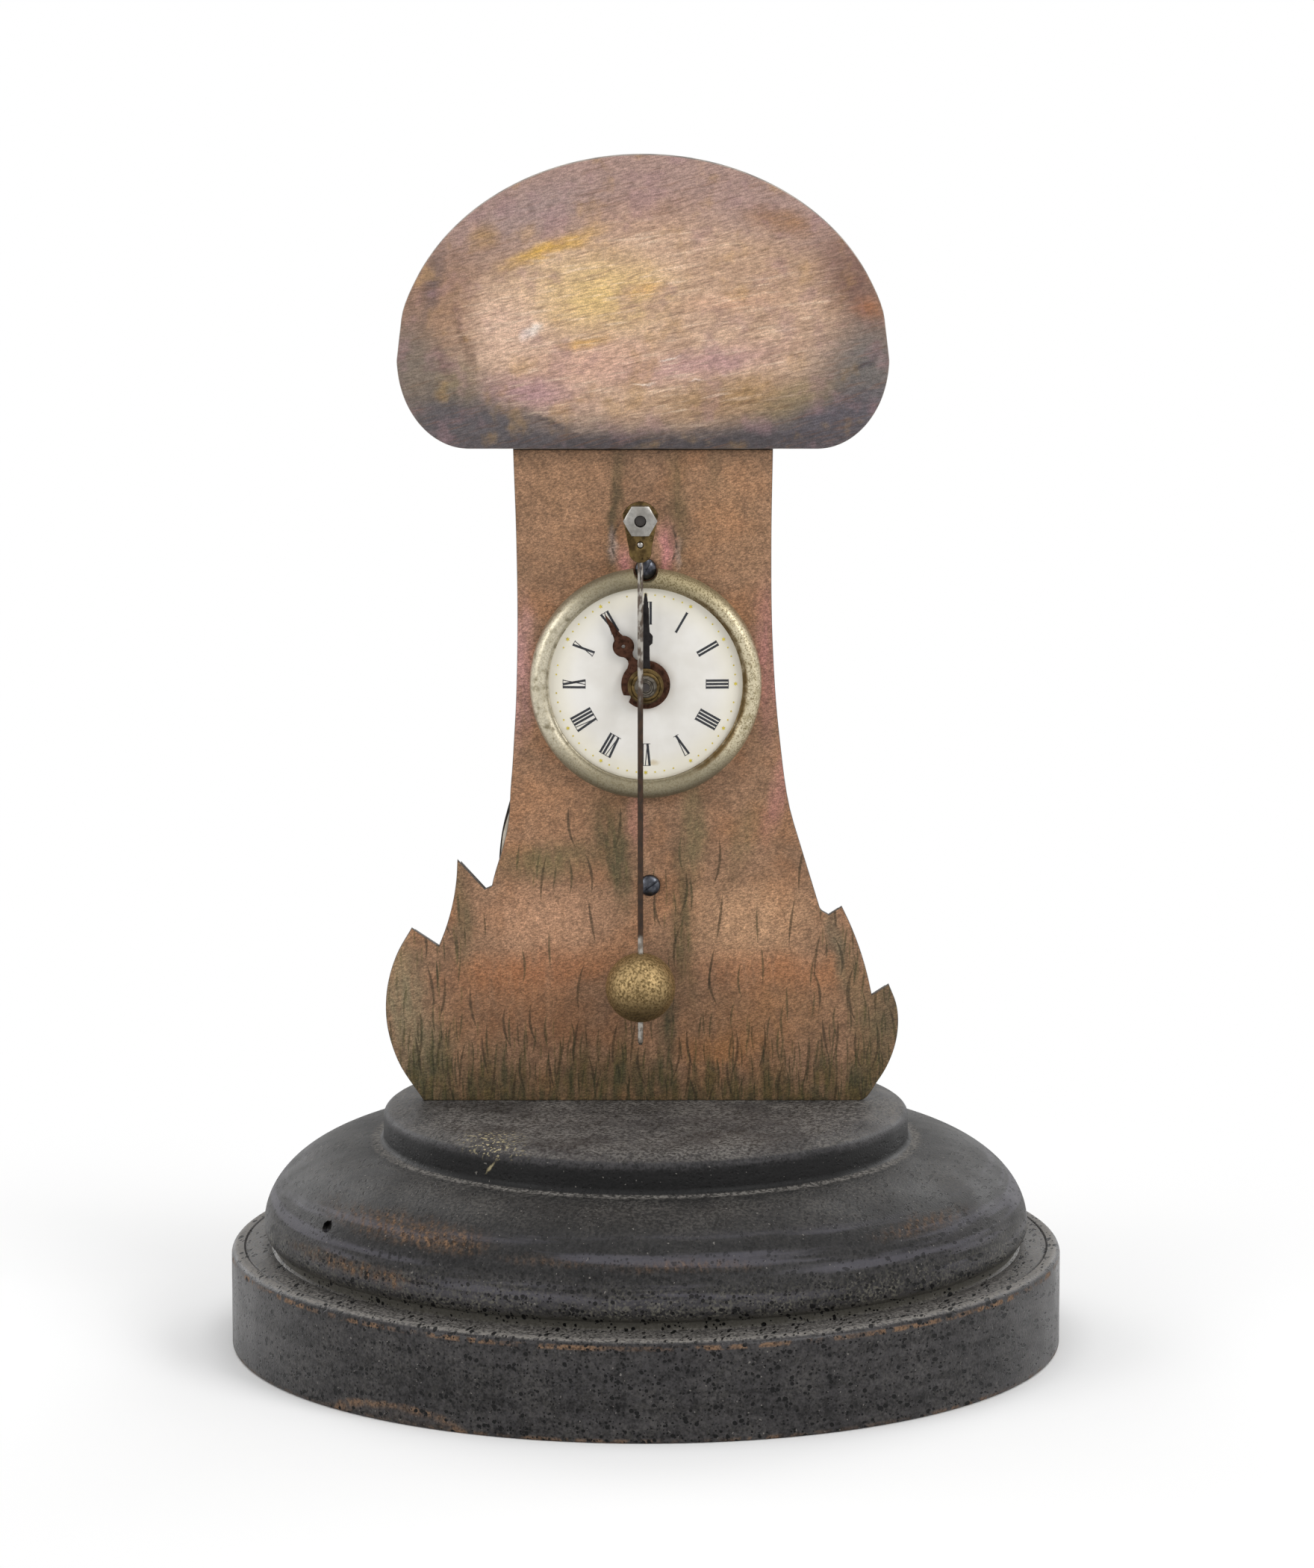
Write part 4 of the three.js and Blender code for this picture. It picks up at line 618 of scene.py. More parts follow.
def oak():
    """Ebonised open-pored oak: pores along a tilted grain, dusty top faces, brown wear on edges, painted
    shade on the upper moulding and drum side, a painted sheen band, a painted highlight along the plinth's
    top edge and painted light in the recess.
    """
    f = Finish("ebonised_oak", specular_ior_level=0.2)
    grain = f.add("Mapping", {"Vector": f.place, "Rotation": GRAIN_TILT})
    height = f.split(f.place)[2]
    x, _, z = f.split(f.warped(30.0, 3.0, grain))
    from_pith = f.math("POWER", x + PITH_PLACE[0], 2.0) + f.math("POWER", z + PITH_PLACE[1], 2.0)
    ring = f.math("FRACT", f.math("POWER", from_pith, 0.5) / RING_WIDTH)
    early = f.ramp(f.apart(ring, 0.5), 0.5, 0.12)
    pores = f.most(pore_mask(f, grain, early, 0.85, 0.46), pore_mask(f, grain, early, 0.48, 0.4))
    pores = pores * f.ramp(height, 17.0, 27.0, 1.0, 0.55) * f.ramp(height, 30.0, 33.0, 1.0, 0.6)
    streak = f.noise(1.0, 4.0, grain, (0.9, 14.0, 0.9))
    grit = f.noise(0.36)
    turning = f.noise(1.0, 4.0, None, (40.0, 40.0, 2.0))
    level = streak * 0.35 + (grit * 0.35 + turning * 0.3)
    f.colour = f.mix(f.ramp(level, 0.38, 0.62), "0d0c0d", "3b393a")
    # Painted shade: the moulding darkened towards its top and on the drum's side
    upper = f.ramp(height, 17.0, 33.0, 0.1, 0.85) * f.ramp(height, 16.0, 17.0) * f.ramp(height, 36.2, 35.0)
    f.lay("0a0a0a", upper)
    # Painted sheen: a lighter bluish band in the turning lines at the moulding's middle height
    sheen = f.ramp(turning, 0.48, 0.64) * f.ramp(height, 18.0, 21.0) * f.ramp(height, 30.0, 27.0) * 0.42
    f.lay("5c5a63", sheen)
    worn = base_wear(f)
    f.lay(f.mix(f.ramp(grit, 0.35, 0.6), "483628", "80644c"), worn)
    # Dust, with a painted highlight along the plinth's top edge
    dust_and_highlight = base_dust_and_highlight(f)
    f.lay("7f7b76", dust_and_highlight)
    # Dirt grains, and painted light in the recess
    f.lay("69665c", recess_grains_and_light(f))
    f.lay("cbbd94", drum_flecks(f))
    f.lay("070707", pores)
    gloss = f.ramp(f.noise(9.0), 0.3, 0.7, 0.26, 0.38)
    dull = (dust_and_highlight + worn) * 0.4 + f.ramp(height, 15.6, 17.0) * 0.2
    return f.done(pores * -1.0 + (streak + turning) * 0.4 + grit * 0.5, 0.12, gloss + dull)


def pore_mask(f, grain, early, size, widest):
    """Open pores: round where the grain is cut across, dashes where it runs along the face."""
    place = f.vector("DIVIDE", f.warped(1.6, 0.5, grain), (size, 3.6 * size, size))
    cells = f.node("TexVoronoi", {"Vector": place, "Scale": 1.0}).outputs
    chance = f.split(cells["Color"])[0]
    width = f.ramp(early, 0.0, 1.0, 0.55, 1.0) * f.ramp(chance, 0.22, 0.86) * widest
    return f.ramp(width - cells["Distance"], 0.0, 0.1)


def reach_of(f):
    """Distance from the base's axis."""
    return f.length(f.vector("MULTIPLY", f.place, (1, 1, 0)))


def base_dust_and_highlight(f):
    """Dust lies on what faces up, thickest in the corners, and thinly elsewhere; along the plinth's top edge
    it also stands for a painted highlight.
    """
    up = f.split(f.add("NewGeometry", output="Normal"))[2]
    z = f.split(f.place)[2]
    reach = reach_of(f)
    flat = f.ramp(up, 0.75, 1.0)
    patchy = f.ramp(f.noise(7.0, 6.0), 0.34, 0.66, 0.4, 1.05)
    top = flat * patchy * f.ramp(z, 33.0, 37.0, 0.13, 0.4)
    ovolo = f.ramp(z, 17.0, 19.0) * f.ramp(z, 32.0, 29.0) * patchy * 0.04
    plinth = f.ramp(z, 15.0, 13.5) * f.ramp(f.noise(6.0, 4.0), 0.3, 0.7, 0.02, 0.1)
    corner = f.ramp(f.apart(reach, OVOLO_INNER), 1.4, 0.2) * flat * 0.45
    on_ledge = f.ramp(z, 14.9, 15.3) * f.ramp(z, 16.4, 15.6)
    # Dust and a painted highlight: a light line along the plinth's rounded top edge
    ledge_dust_and_highlight = on_ledge * f.ramp(f.apart(reach, BASE_RADIUS - PLINTH_ROUND), 0.9, 0.3, 0.3, 0.9)
    loose = f.ramp(f.noise(0.55, 1.0), 0.74, 0.77) * 0.7
    speckle = f.ramp(f.noise(0.5), 0.4, 0.62, 0.3, 1.8)
    return f.least((top + ovolo + plinth + corner + ledge_dust_and_highlight) * speckle + loose, 0.85)


def recess_grains_and_light(f):
    """Greyish green grains of dirt in the recess and on the moulding's lower side, and painted light: the
    recess lightened evenly towards grey-green.
    """
    z = f.split(f.place)[2]
    grains = f.ramp(f.noise(0.45, 6.0), 0.46, 0.64)
    patchy = f.ramp(f.noise(5.0), 0.35, 0.65, 0.4, 1.0)
    speckled = grains * patchy * f.ramp(z, 24.0, 18.0) * 0.75
    # Painted light: an even lightening of the recess
    inside = f.ramp(z, 18.2, 16.6) * 0.5
    return f.most(speckled, inside) * f.ramp(z, 15.3, 15.8)


def drum_flecks(f):
    """A cluster of pale flecks on the drum's shoulder and one scratch on its side."""
    y = f.split(f.place)[1]
    flecks = f.blob(f.place, -23, 37.2, 4.8, 1.4) * f.ramp(f.noise(0.62, 2.0), 0.57, 0.62)
    scratch = f.blob(f.warped(0.6, 0.4), -23.3, 34.4, 0.2, 1.1, -35)
    return f.most(flecks, scratch) * f.ramp(y, -22.0, -26.0) * 0.7


# Worn streaks on the base's front: place, half size and strength
WORN_STREAKS = (
    (-36, 27.0, 11, 1.7, 0.85),
    (-30, 26.2, 6, 1.3, 0.6),
    (-44, 20.6, 9, 1.2, 0.95),
    (-37.5, 19.8, 1.8, 1.0, 0.9),
    (41.5, 26.6, 7, 1.1, 0.5),
    (6, 24.8, 11, 0.9, 0.4),
    (-14, 25.2, 7, 0.8, 0.3),
)


def base_wear(f):
    """Brown wood where the black has rubbed off: the plinth's edges, some streaks and one arched patch."""
    y, z = f.split(f.place)[1:]
    reach = reach_of(f)
    ahead = f.ramp(y, 5.0, -5.0)
    below_rim = f.apart(z, PLINTH_HEIGHT - 0.9 * PLINTH_ROUND)
    arris = f.ramp(below_rim, 0.5, 0.15) * f.ramp(reach, BASE_RADIUS - 0.8, BASE_RADIUS - 0.4)
    foot = f.ramp(z, 0.9, 0.3) * f.ramp(reach, BASE_RADIUS - 1.5, BASE_RADIUS - 0.6)
    ragged = f.ramp(f.noise(1.2, 4.0, None, (1.5, 1.5, 1.5)), 0.42, 0.54)
    broken = f.ramp(f.noise(12.0), 0.42, 0.58, 0.3, 1.0)
    total = (arris + foot * 0.7) * broken * ragged
    sideways = f.split(f.warped(2.6, 2.4))[0]
    ticks = f.ramp(f.math("SINE", sideways * (math.tau / TICK_PITCH)), -0.5, 0.8, 0.35, 1.0)
    dashes = f.ramp(f.noise(0.8, 4.0), 0.4, 0.6, 0.3, 1.0) * ticks
    spot = f.warped(5.0, 2.0)
    for *streak, share in WORN_STREAKS:
        total += f.blob(spot, *streak) * dashes * ahead * share
    arch = f.blob(spot, -37, 0, 10.5, 3.0, 0, 0.15)
    hollow = f.blob(spot, -36.5, 0, 9.0, 2.3, 0, 0.25) * 0.92
    speckled = f.ramp(f.noise(1.1, 4.0), 0.36, 0.56, 0.2, 0.85)
    return f.least(total + (arch - hollow) * speckled * ahead, 0.9)


def card(f, coarse, drawn):
    """The uneven tone of painted card: fibres drawn out along the brush, fine dots and soft tone."""
    fibres = f.noise(0.3, 4.0, f.turned_place(14), (drawn, drawn, 0.8))
    level = f.ramp(fibres, 0.32, 0.68, 1 - coarse, 1 + coarse)
    for size, share in ((0.18, 0.9), (0.9, 0.4)):
        level *= f.ramp(f.noise(size), 0.32, 0.68, 1 - share * coarse, 1 + share * coarse)
    f.darken(level)


def painted(f, spot, layers, grain):
    """Lays soft patches of paint: each is a hex code, a place, a half size, a lean and a strength."""
    for code, *patch, share in layers:
        f.lay(code, f.blob(spot, *patch) * grain * share)


STEM_LAYERS = (
    ("a57d5c", -12, 131, 9, 12, 0, 0.4),
    ("a67f5d", 12.5, 130, 8, 12, 0, 0.45),
    ("7d6048", -15, 119, 7, 5, 0, 0.35),
    ("a87c5a", -13, 84, 9, 7, 0, 0.5),
    ("5a4d35", -4.6, 131, 1.2, 11, -3, 0.8),
    ("4c402e", -4.9, 128, 0.5, 9, -3, 0.6),
    ("5d5036", 5.0, 130, 1.7, 11, 2, 0.75),
    ("6b5b44", 10.5, 136, 1.2, 4, 0, 0.4),
    ("bf8080", 3.3, 123.4, 1.6, 4.6, -4, 0.75),
    ("b97c7c", -3.2, 121.0, 1.2, 3.6, 5, 0.7),
    ("a8938a", -4.9, 124.6, 0.8, 2.6, 0, 0.6),
    ("a8938a", 5.3, 123.0, 0.7, 2.8, 0, 0.5),
    ("b88a86", -19.6, 105, 2.6, 11, 0, 0.8),
    ("a3716a", 18.6, 107, 2.4, 12, 0, 0.8),
    ("a5706a", 20.8, 88, 1.8, 9, -14, 0.65),
    ("b07c6c", -1.6, 82.5, 1.6, 5, 0, 0.8),
    ("4f4a31", -5.2, 79, 3.0, 8, 8, 0.8),
    ("4a482f", -4.0, 74, 1.6, 7, 6, 0.75),
    ("6b6344", 7.2, 80, 2.3, 9, -3, 0.7),
    ("6b6140", -15, 75.5, 8, 3.2, 10, 0.75),
    ("6d6341", 15, 79, 2.2, 6, -16, 0.35),
    ("b88e70", -15, 66, 11, 6.5, 0, 0.8),
    ("b99270", 15.5, 66, 11, 7, 0, 0.8),
    ("a8683f", -18, 58, 13, 3.5, 4, 0.45),
    ("a86a40", 19, 58, 13, 3.5, -4, 0.4),
    ("82593b", -19, 52, 12, 6, -10, 0.65),
    ("84603f", 18, 51, 14, 6, 8, 0.6),
    ("9a6a3e", 12, 46, 9, 2.6, 4, 0.5),
    ("4b472e", 5.8, 65, 1.8, 12, 4, 0.75),
    ("3c3d2a", 3.0, 49, 1.7, 10, 0, 0.85),
    ("4e492f", -3.2, 44, 2.6, 5, 0, 0.5),
    ("83785d", -37, 52, 4.0, 15, 14, 0.8),
    ("685e47", -33, 46, 6, 5, 30, 0.6),
    ("66583f", 36, 50, 4.0, 12, -16, 0.85),
    ("5a4c3a", 37.5, 53, 1.2, 6, -10, 0.6),
    ("5f553c", -28, 67, 1.8, 9, 5, 0.7),
    ("5c5a48", 29.5, 62, 1.2, 8, 8, 0.7),
    ("6a5d41", 32, 56, 1.8, 8, 12, 0.5),
)

# Grass strokes: cell width and length, lean, thickness, seed, colour and strength
LONG_STROKES = (
    (4.4, 8.5, -7, 0.06, 3.0, "3d3220", 0.7),
    (5.2, 7.5, 9, 0.055, 11.0, "382f20", 0.7),
    (3.6, 6.4, 2, 0.065, 23.0, "3f3c26", 0.65),
)
SHORT_STROKES = (
    (1.5, 4.6, 3, 0.12, 31.0, "35341f", 0.6),
    (1.9, 5.2, -6, 0.11, 43.0, "403d26", 0.6),
    (1.2, 3.6, -1, 0.14, 57.0, "58502f", 0.45),
)


def stem_paint():
    """Tan card with olive shading, rose patches, grass strokes and a painted shadow under the cap."""
    f = Finish("painted_stem", specular_ior_level=0.3)
    x, _, z = f.split(f.place)
    spot = f.warped(1.1, 1.0, f.warped(7.0, 3.4))
    mottle = f.noise(2.6, 5.0)
    f.colour = f.mix(f.ramp(mottle, 0.3, 0.7), "7c5f48", "917057")
    f.lay("a06f4b", f.ramp(f.noise(8.0), 0.45, 0.7) * 0.45)
    streaky = f.ramp(f.noise(1.2, 5.0, f.turned_place(4), (0.8, 0.8, 4.0)), 0.25, 0.62, 0.45, 1.0)
    painted(f, spot, STEM_LAYERS, streaky)
    tall = f.ramp(f.noise(2.2, 4.0, None, (1.0, 1.0, 9.0)), 0.35, 0.7, 41.5, 47.5)
    fade = f.ramp(f.noise(1.1, 4.0, None, (0.8, 0.8, 5.0)), 0.3, 0.65, 0.5, 1.0)
    green = f.mix(f.ramp(f.noise(3.0), 0.4, 0.6), "3f3f29", "514829")
    f.lay(green, f.ramp(tall - z, -2.5, 4.5) * fade * 0.85)
    # Painted shadow: the stem's top darkened just under the cap's edge
    f.lay("4c3a2a", f.ramp(z, 135.6, 139.2) * 0.5)
    for fewer, rows in ((0.0, LONG_STROKES), (0.2, SHORT_STROKES)):
        for *cell, code, share in rows:
            f.lay(code, strokes(f, *cell, fewer) * share)
    away = f.length(f.vector("SUBTRACT", f.place, SCUFF_CENTRE))
    scuff = f.ramp(f.apart(away, SCUFF_RADIUS), 0.3, 0.05) * f.ramp(f.math("ABSOLUTE", x), 3.4, 4.4)
    f.lay("3f352c", scuff * f.ramp(f.noise(1.3), 0.46, 0.56) * 0.75)
    card(f, 0.3, 1.8)
    return f.done(f.noise(0.4) + f.noise(2.0) * 0.5, 0.035, f.ramp(mottle, 0.2, 0.8, 0.62, 0.8))


def grass_density(f, place):
    """Share of cells that hold a stroke: few on the bellies, more low down, at the sides and in clumps."""
    x, _, z = f.split(place)
    low = f.ramp(z, 54.0, 43.0, 0.14, 0.7)
    side = f.ramp(f.math("ABSOLUTE", x), 22.0, 32.0) * f.ramp(z, 74.0, 66.0) * 0.35
    clump = f.blob(place, -14, 75.5, 12, 4) * 0.35
    gully = f.blob(place, 4.5, 64, 4.5, 14) * 0.35
    return (low + side + (clump + gully)) * f.ramp(z, 83.0, 76.0)


CAP_LAYERS = (
    ("96827d", -17, 175.5, 10, 4, 22, 0.75),
    ("a5836d", 0, 174.5, 10, 3.5, 6, 0.55),
    ("cfb189", -12, 164.5, 11, 5.5, 12, 0.7),
    ("d2b19b", -21, 157.5, 7.5, 6.5, 0, 0.75),
    ("a98970", 19, 165.5, 11, 7, 0, 0.75),
    ("c49a80", 12, 161.6, 9, 1.6, 4, 0.55),
    ("c49a41", -14.3, 169.8, 8, 1.3, 22, 0.9),
    ("a5803f", -24.5, 171.6, 2.6, 2.4, 0, 0.55),
    ("d6b670", -5.6, 162.6, 10.5, 5.6, 8, 0.66),
    ("d2a058", -0.4, 163.4, 3.6, 1.0, 12, 0.5),
    ("bf9440", -9.4, 155.4, 4, 0.9, 8, 0.85),
    ("c9a08d", -8, 152.4, 11, 3.4, 7, 0.75),
    ("b08a86", 8, 152.2, 14, 2.4, 9, 0.8),
    ("a58085", -17.5, 148, 9, 2.8, -8, 0.75),
    ("957754", 12, 146.8, 14, 3.6, 5, 0.9),
    ("877659", 23, 146.4, 7, 3, 22, 0.8),
    ("8f6a4c", 20.4, 174, 6, 2.0, -14, 0.9),
    ("70534a", 31, 165.4, 4.4, 7.5, 22, 0.95),
    ("95603d", 33.8, 160.4, 2.6, 1.8, 0, 0.8),
    ("98775e", -29.8, 160, 4.4, 8, -6, 0.75),
    ("877658", -28.6, 149.2, 4, 3.6, 0, 0.65),
    ("65605d", 34, 151.8, 5, 7.5, 12, 0.9),
    ("565157", 28.5, 143.8, 12, 3.8, 20, 0.9),
    ("7a6b5c", -35, 149.6, 3.4, 7.5, -6, 0.8),
    ("565153", -24.5, 143.2, 14, 3.6, -8, 0.9),
    ("454042", 3, 140.2, 32, 2.2, 1, 0.95),
    ("5f5150", -32.2, 164.2, 1.2, 6, -14, 0.8),
    ("6a5243", -28, 156.5, 0.7, 5.5, 14, 0.7),
    ("5d4a40", -30.8, 152.6, 0.7, 3.6, 18, 0.65),
    ("6d5545", -26.4, 153.2, 0.6, 2.8, 12, 0.55),
    ("433d3f", -14.5, 143.2, 4.4, 0.6, -20, 0.8),
    ("453f43", 33.4, 152.3, 2.4, 0.6, 35, 0.7),
    ("f0e4d8", -17.2, 157.2, 1.9, 1.0, 30, 0.9),
    ("e8d6c8", 3.6, 153.2, 1.7, 0.22, 14, 0.95),
    ("e8d6c8", -0.6, 149.4, 1.6, 0.2, 10, 0.9),
    ("dcc6ba", 7.9, 149.7, 1.1, 0.16, 10, 0.8),
)


def cap_paint():
    """Soft pastel shading: a warm light middle, lilac above, brown at the sides, slate along the foot."""
    f = Finish("painted_cap", specular_ior_level=0.3)
    z = f.split(f.place)[2]
    f.colour = f.mix(f.ramp(z, 144.0, 153.0), "595354", "736860")
    f.lay("8b6f5e", f.ramp(z, 152.0, 162.0))
    f.lay("9c8177", f.ramp(z, 164.0, 174.0))
    spot = f.warped(0.9, 0.8, f.warped(3.5, 1.8))
    brush = f.noise(1.0, 6.0, f.turned_place(11), (5.5, 5.5, 0.9))
    middle = f.blob(f.warped(6.0, 4.0), 0.2, 158.2, 31, 17, 3, 0.3)
    f.lay(f.mix(f.ramp(brush, 0.3, 0.7), "ae8f78", "c6a68d"), middle)
    painted(f, spot, CAP_LAYERS, f.ramp(brush, 0.25, 0.6, 0.65, 1.0))
    hatch = f.noise(1.0, 5.0, f.turned_place(16), (4.0, 4.0, 0.32))
    f.lay("6d4f3e", f.ramp(hatch, 0.52, 0.72) * 0.45)
    pale = f.noise(1.2, 5.0, f.turned_place(9), (4.5, 4.5, 0.38))
    f.lay("e2c9b0", f.ramp(pale, 0.54, 0.74) * middle * 0.45)
    tint = f.noise(4.5, 4.0)
    f.lay("957478", f.ramp(tint, 0.52, 0.7) * 0.35)
    f.lay("a9854c", f.ramp(tint, 0.46, 0.28) * 0.32)
    f.lay("5a4538", f.ramp(f.noise(0.36), 0.56, 0.68) * f.ramp(f.noise(7.0), 0.42, 0.65) * 0.4)
    card(f, 0.22, 4.0)
    return f.done(f.noise(0.4) + brush * 0.6, 0.03, f.ramp(brush, 0.2, 0.8, 0.55, 0.75))


def plain_rough(name, dark, light, rough, size=1.5, **constants):
    """A dull mottled finish between two colours."""
    f = Finish(name, **constants)
    patches = f.noise(size, 5.0)
    f.colour = f.mix(f.ramp(patches, 0.3, 0.7), dark, light)
    return f.done(f.noise(0.3), 0.03, f.ramp(patches, 0.3, 0.7, *rough))


def metal_base(f, patches, bright, dull, rough, brush=None):
    """Lays bright and dull metal with a brushed or turned grain, and gives its roughness and the grain."""
    lines = f.noise(1.0, 3.0, None, brush or (0.5, 0.5, 0.5))
    f.colour = f.mix(patches, bright, dull)
    f.darken(f.ramp(lines, 0.3, 0.7, 0.86, 1.1))
    return f.ramp(patches, 0.0, 1.0, *rough) + f.ramp(lines, 0.3, 0.7, 0.0, 0.08), lines


def metal(name, bright, dull, rough, patch=2.5, share=0.5, brush=None, specks=None):
    """Aged metal: bright and dull patches, a grain and dark specks."""
    f = Finish(name, metallic=1.0)
    patches = f.ramp(f.noise(patch, 5.0), 0.62 - 0.4 * share, 0.9 - 0.4 * share)
    gloss, lines = metal_base(f, patches, bright, dull, rough, brush)
    height = lines * 0.5
    if specks:
        code, size, level, amount = specks
        spots = f.ramp(f.noise(size), level, level + 0.08)
        f.lay(code, spots * amount)
        gloss += spots * 0.25
        height -= spots * 0.6
    return f.done(height, 0.02, gloss)


def from_dial(f):
    """Distance from the dial's axis."""
    return f.length(f.vector("MULTIPLY", f.vector("SUBTRACT", f.place, tuple(centre("dial"))), (1, 0, 1)))


def worn_gilt():
    """The bezel: silvery on the left, rougher and with painted shade above and below, speckled gold on the
    right, and brown dirt with painted shade on the mouth's right side.
    """
    f = Finish("worn_gilt", metallic=1.0)
    reach = half_width("bezel")
    x, _, z = f.split(f.vector("SUBTRACT", f.warped(3.0, 2.0), tuple(centre("dial"))))
    # Painted shade: darker, rougher metal above and below the middle
    shaded_above_below = f.most(f.ramp(z, 0.45 * reach, 0.9 * reach), f.ramp(z, -0.25 * reach, -0.85 * reach))
    patches = f.most(f.ramp(f.noise(1.2, 5.0), 0.46, 0.74), shaded_above_below)
    gloss, lines = metal_base(f, patches, "c9c1ac", "8d8570", (0.38, 0.62), (0.3, 0.3, 0.3))
    gilt = f.ramp(x + z * 0.5, 0.1 * reach, 0.8 * reach)
    f.lay("d6c28c", gilt * 0.22)
    spots = f.ramp(f.noise(0.24), 0.5, 0.6) * f.ramp(gilt, 0.0, 1.0, 0.3, 0.65)
    f.lay("6f6243", spots)
    # Brown dirt with painted shade on the right side of the mouth
    mouth = f.ramp(from_dial(f), BEZEL_OPENING + 1.0, BEZEL_OPENING + 0.5)
    mouth *= f.ramp(x, 0.2 * reach, 0.6 * reach)
    f.lay("5f4b2b", mouth * f.ramp(f.noise(1.5, 4.0), 0.3, 0.6, 0.5, 0.95))
    return f.done(lines * 0.5 - spots * 0.6, 0.02, gloss + spots * 0.2)


def enamel():
    """Glossy white enamel: a faint warm cloud and rim, and stains under the six and round the hub."""
    f = Finish("white_enamel", roughness=0.12, coat_weight=0.3, coat_roughness=0.05)
    middle = centre("dial")
    f.colour = f.mix(f.ramp(f.noise(5.0, 4.0), 0.3, 0.7), "e8e5df", "dedad2")
    f.lay("b59a63", f.blob(f.warped(0.8, 0.7), middle.x + 1.2, middle.z - 12.2, 1.0, 0.4) * 0.7)
    f.lay("c9b9a6", f.blob(f.warped(1.2, 0.8), middle.x, middle.z, 4.6, 4.6, soft=0.3) * 0.35)
    f.lay("e9e2ca", f.ramp(from_dial(f), 10.0, 14.0, 0.0, 0.5))
    return f.done(f.noise(4.0, 2.0), 0.02)


def rod_steel():
    """Steel wire: bright above the dial's middle and by the bob, rust-brown between."""
    f = Finish("rod_steel", metallic=0.9)
    z = f.split(f.place)[2]
    bob_at = centre("bob").z
    dial_at = centre("dial").z
    rust = f.ramp(f.noise(0.7, 4.0, None, (1, 1, 2.2)), 0.4, 0.6)
    high = f.ramp(z, dial_at - 4.0, dial_at + 3.0) * f.ramp(rust, 0.0, 1.0, 1.0, 0.35)
    bare = f.most(high, f.ramp(z, bob_at + 8.4, bob_at + 7.4))
    f.colour = f.mix(rust, "3d342e", "4a3a30")
    f.lay(f.mix(rust, "a9a49c", "766e65"), bare)
    return f.done(rust + f.noise(0.3), 0.03, f.ramp(bare, 0.0, 1.0, 0.65, 0.28))


PLATE_SPECKS = ("3d2f1b", 0.6, 0.68, 0.5)
WHEEL_SPECKS = ("3d2f1b", 0.5, 0.7, 0.4)
STEEL_SPECKS = ("4b4138", 0.35, 0.7, 0.5)
OLD_SPECKS = ("2c2317", 0.4, 0.62, 0.6)
BOB_SPECKS = ("55411f", 0.3, 0.57, 0.5)
RUST_SPECKS = ("23160f", 0.35, 0.6, 0.6)
BRUSHED = (0.25, 0.25, 9.0)
FINE_GRAIN = (0.25, 0.25, 0.25)

FINISHES = {
    "oak": oak(),
    "backing_metal": plain_rough("dark_sheet", "211d19", "352e27", (0.45, 0.65), 5.0, metallic=0.7),
    "painted_stem": stem_paint(),
    "painted_cap": cap_paint(),
    "enamel": enamel(),
    "bezel_gilt": worn_gilt(),
    "blued_steel": metal("blued_steel", "55575d", "35363c", (0.26, 0.42), 0.9),
    "plate_brass": metal("plate_brass", "ab8a4d", "92743f", (0.24, 0.42), 9.0, 0.4, BRUSHED, PLATE_SPECKS),
    "wheel_brass": metal("wheel_brass", "b99755", "957640", (0.2, 0.36), 3.0, 0.4, None, WHEEL_SPECKS),
    "steel": metal("grey_steel", "9b9893", "837f79", (0.24, 0.42), 3.0, 0.4, None, STEEL_SPECKS),
    "rusty_steel": rod_steel(),
    "old_brass": metal("old_brass", "695737", "443723", (0.42, 0.58), 1.1, 0.6, None, OLD_SPECKS),
    "bob_brass": metal("speckled_gilt", "a89067", "705e40", (0.48, 0.62), 0.4, 0.6, FINE_GRAIN, BOB_SPECKS),
}
RUST_BROWN = metal("rust_brown", "4e352a", "36251d", (0.5, 0.7), 0.8, 0.5, None, RUST_SPECKS)
BLACK_STEEL = metal("black_steel", "2f2c2c", "232020", (0.4, 0.55))
DULL_STEEL = metal("dull_steel", "6a645b", "4a443b", (0.4, 0.55), 0.6)
CAP_EDGE = plain_rough("cap_edge", "5d554f", "a69c92", (0.6, 0.8), 2.5)
CARD_EDGE = plain_rough("card_edge", "2a241f", "4a4038", (0.6, 0.8))
CARD_CORE = plain_rough("card_core", "b7ab98", "d8cfc0", (0.7, 0.85))
DIAL_INK = plain_rough("dial_ink", "14161c", "20232b", (0.25, 0.4), 0.6)
DIAL_GILT = metal("dial_gilt", "d2c04f", "b7a443", (0.35, 0.5), 0.4)
# A near-black finish: painted shade for the arbor ends seen in the nuts' bores
SHADED_BORE = plain_rough("painted_shade_bore", "2a2523", "3b3430", (0.5, 0.7), 0.5)


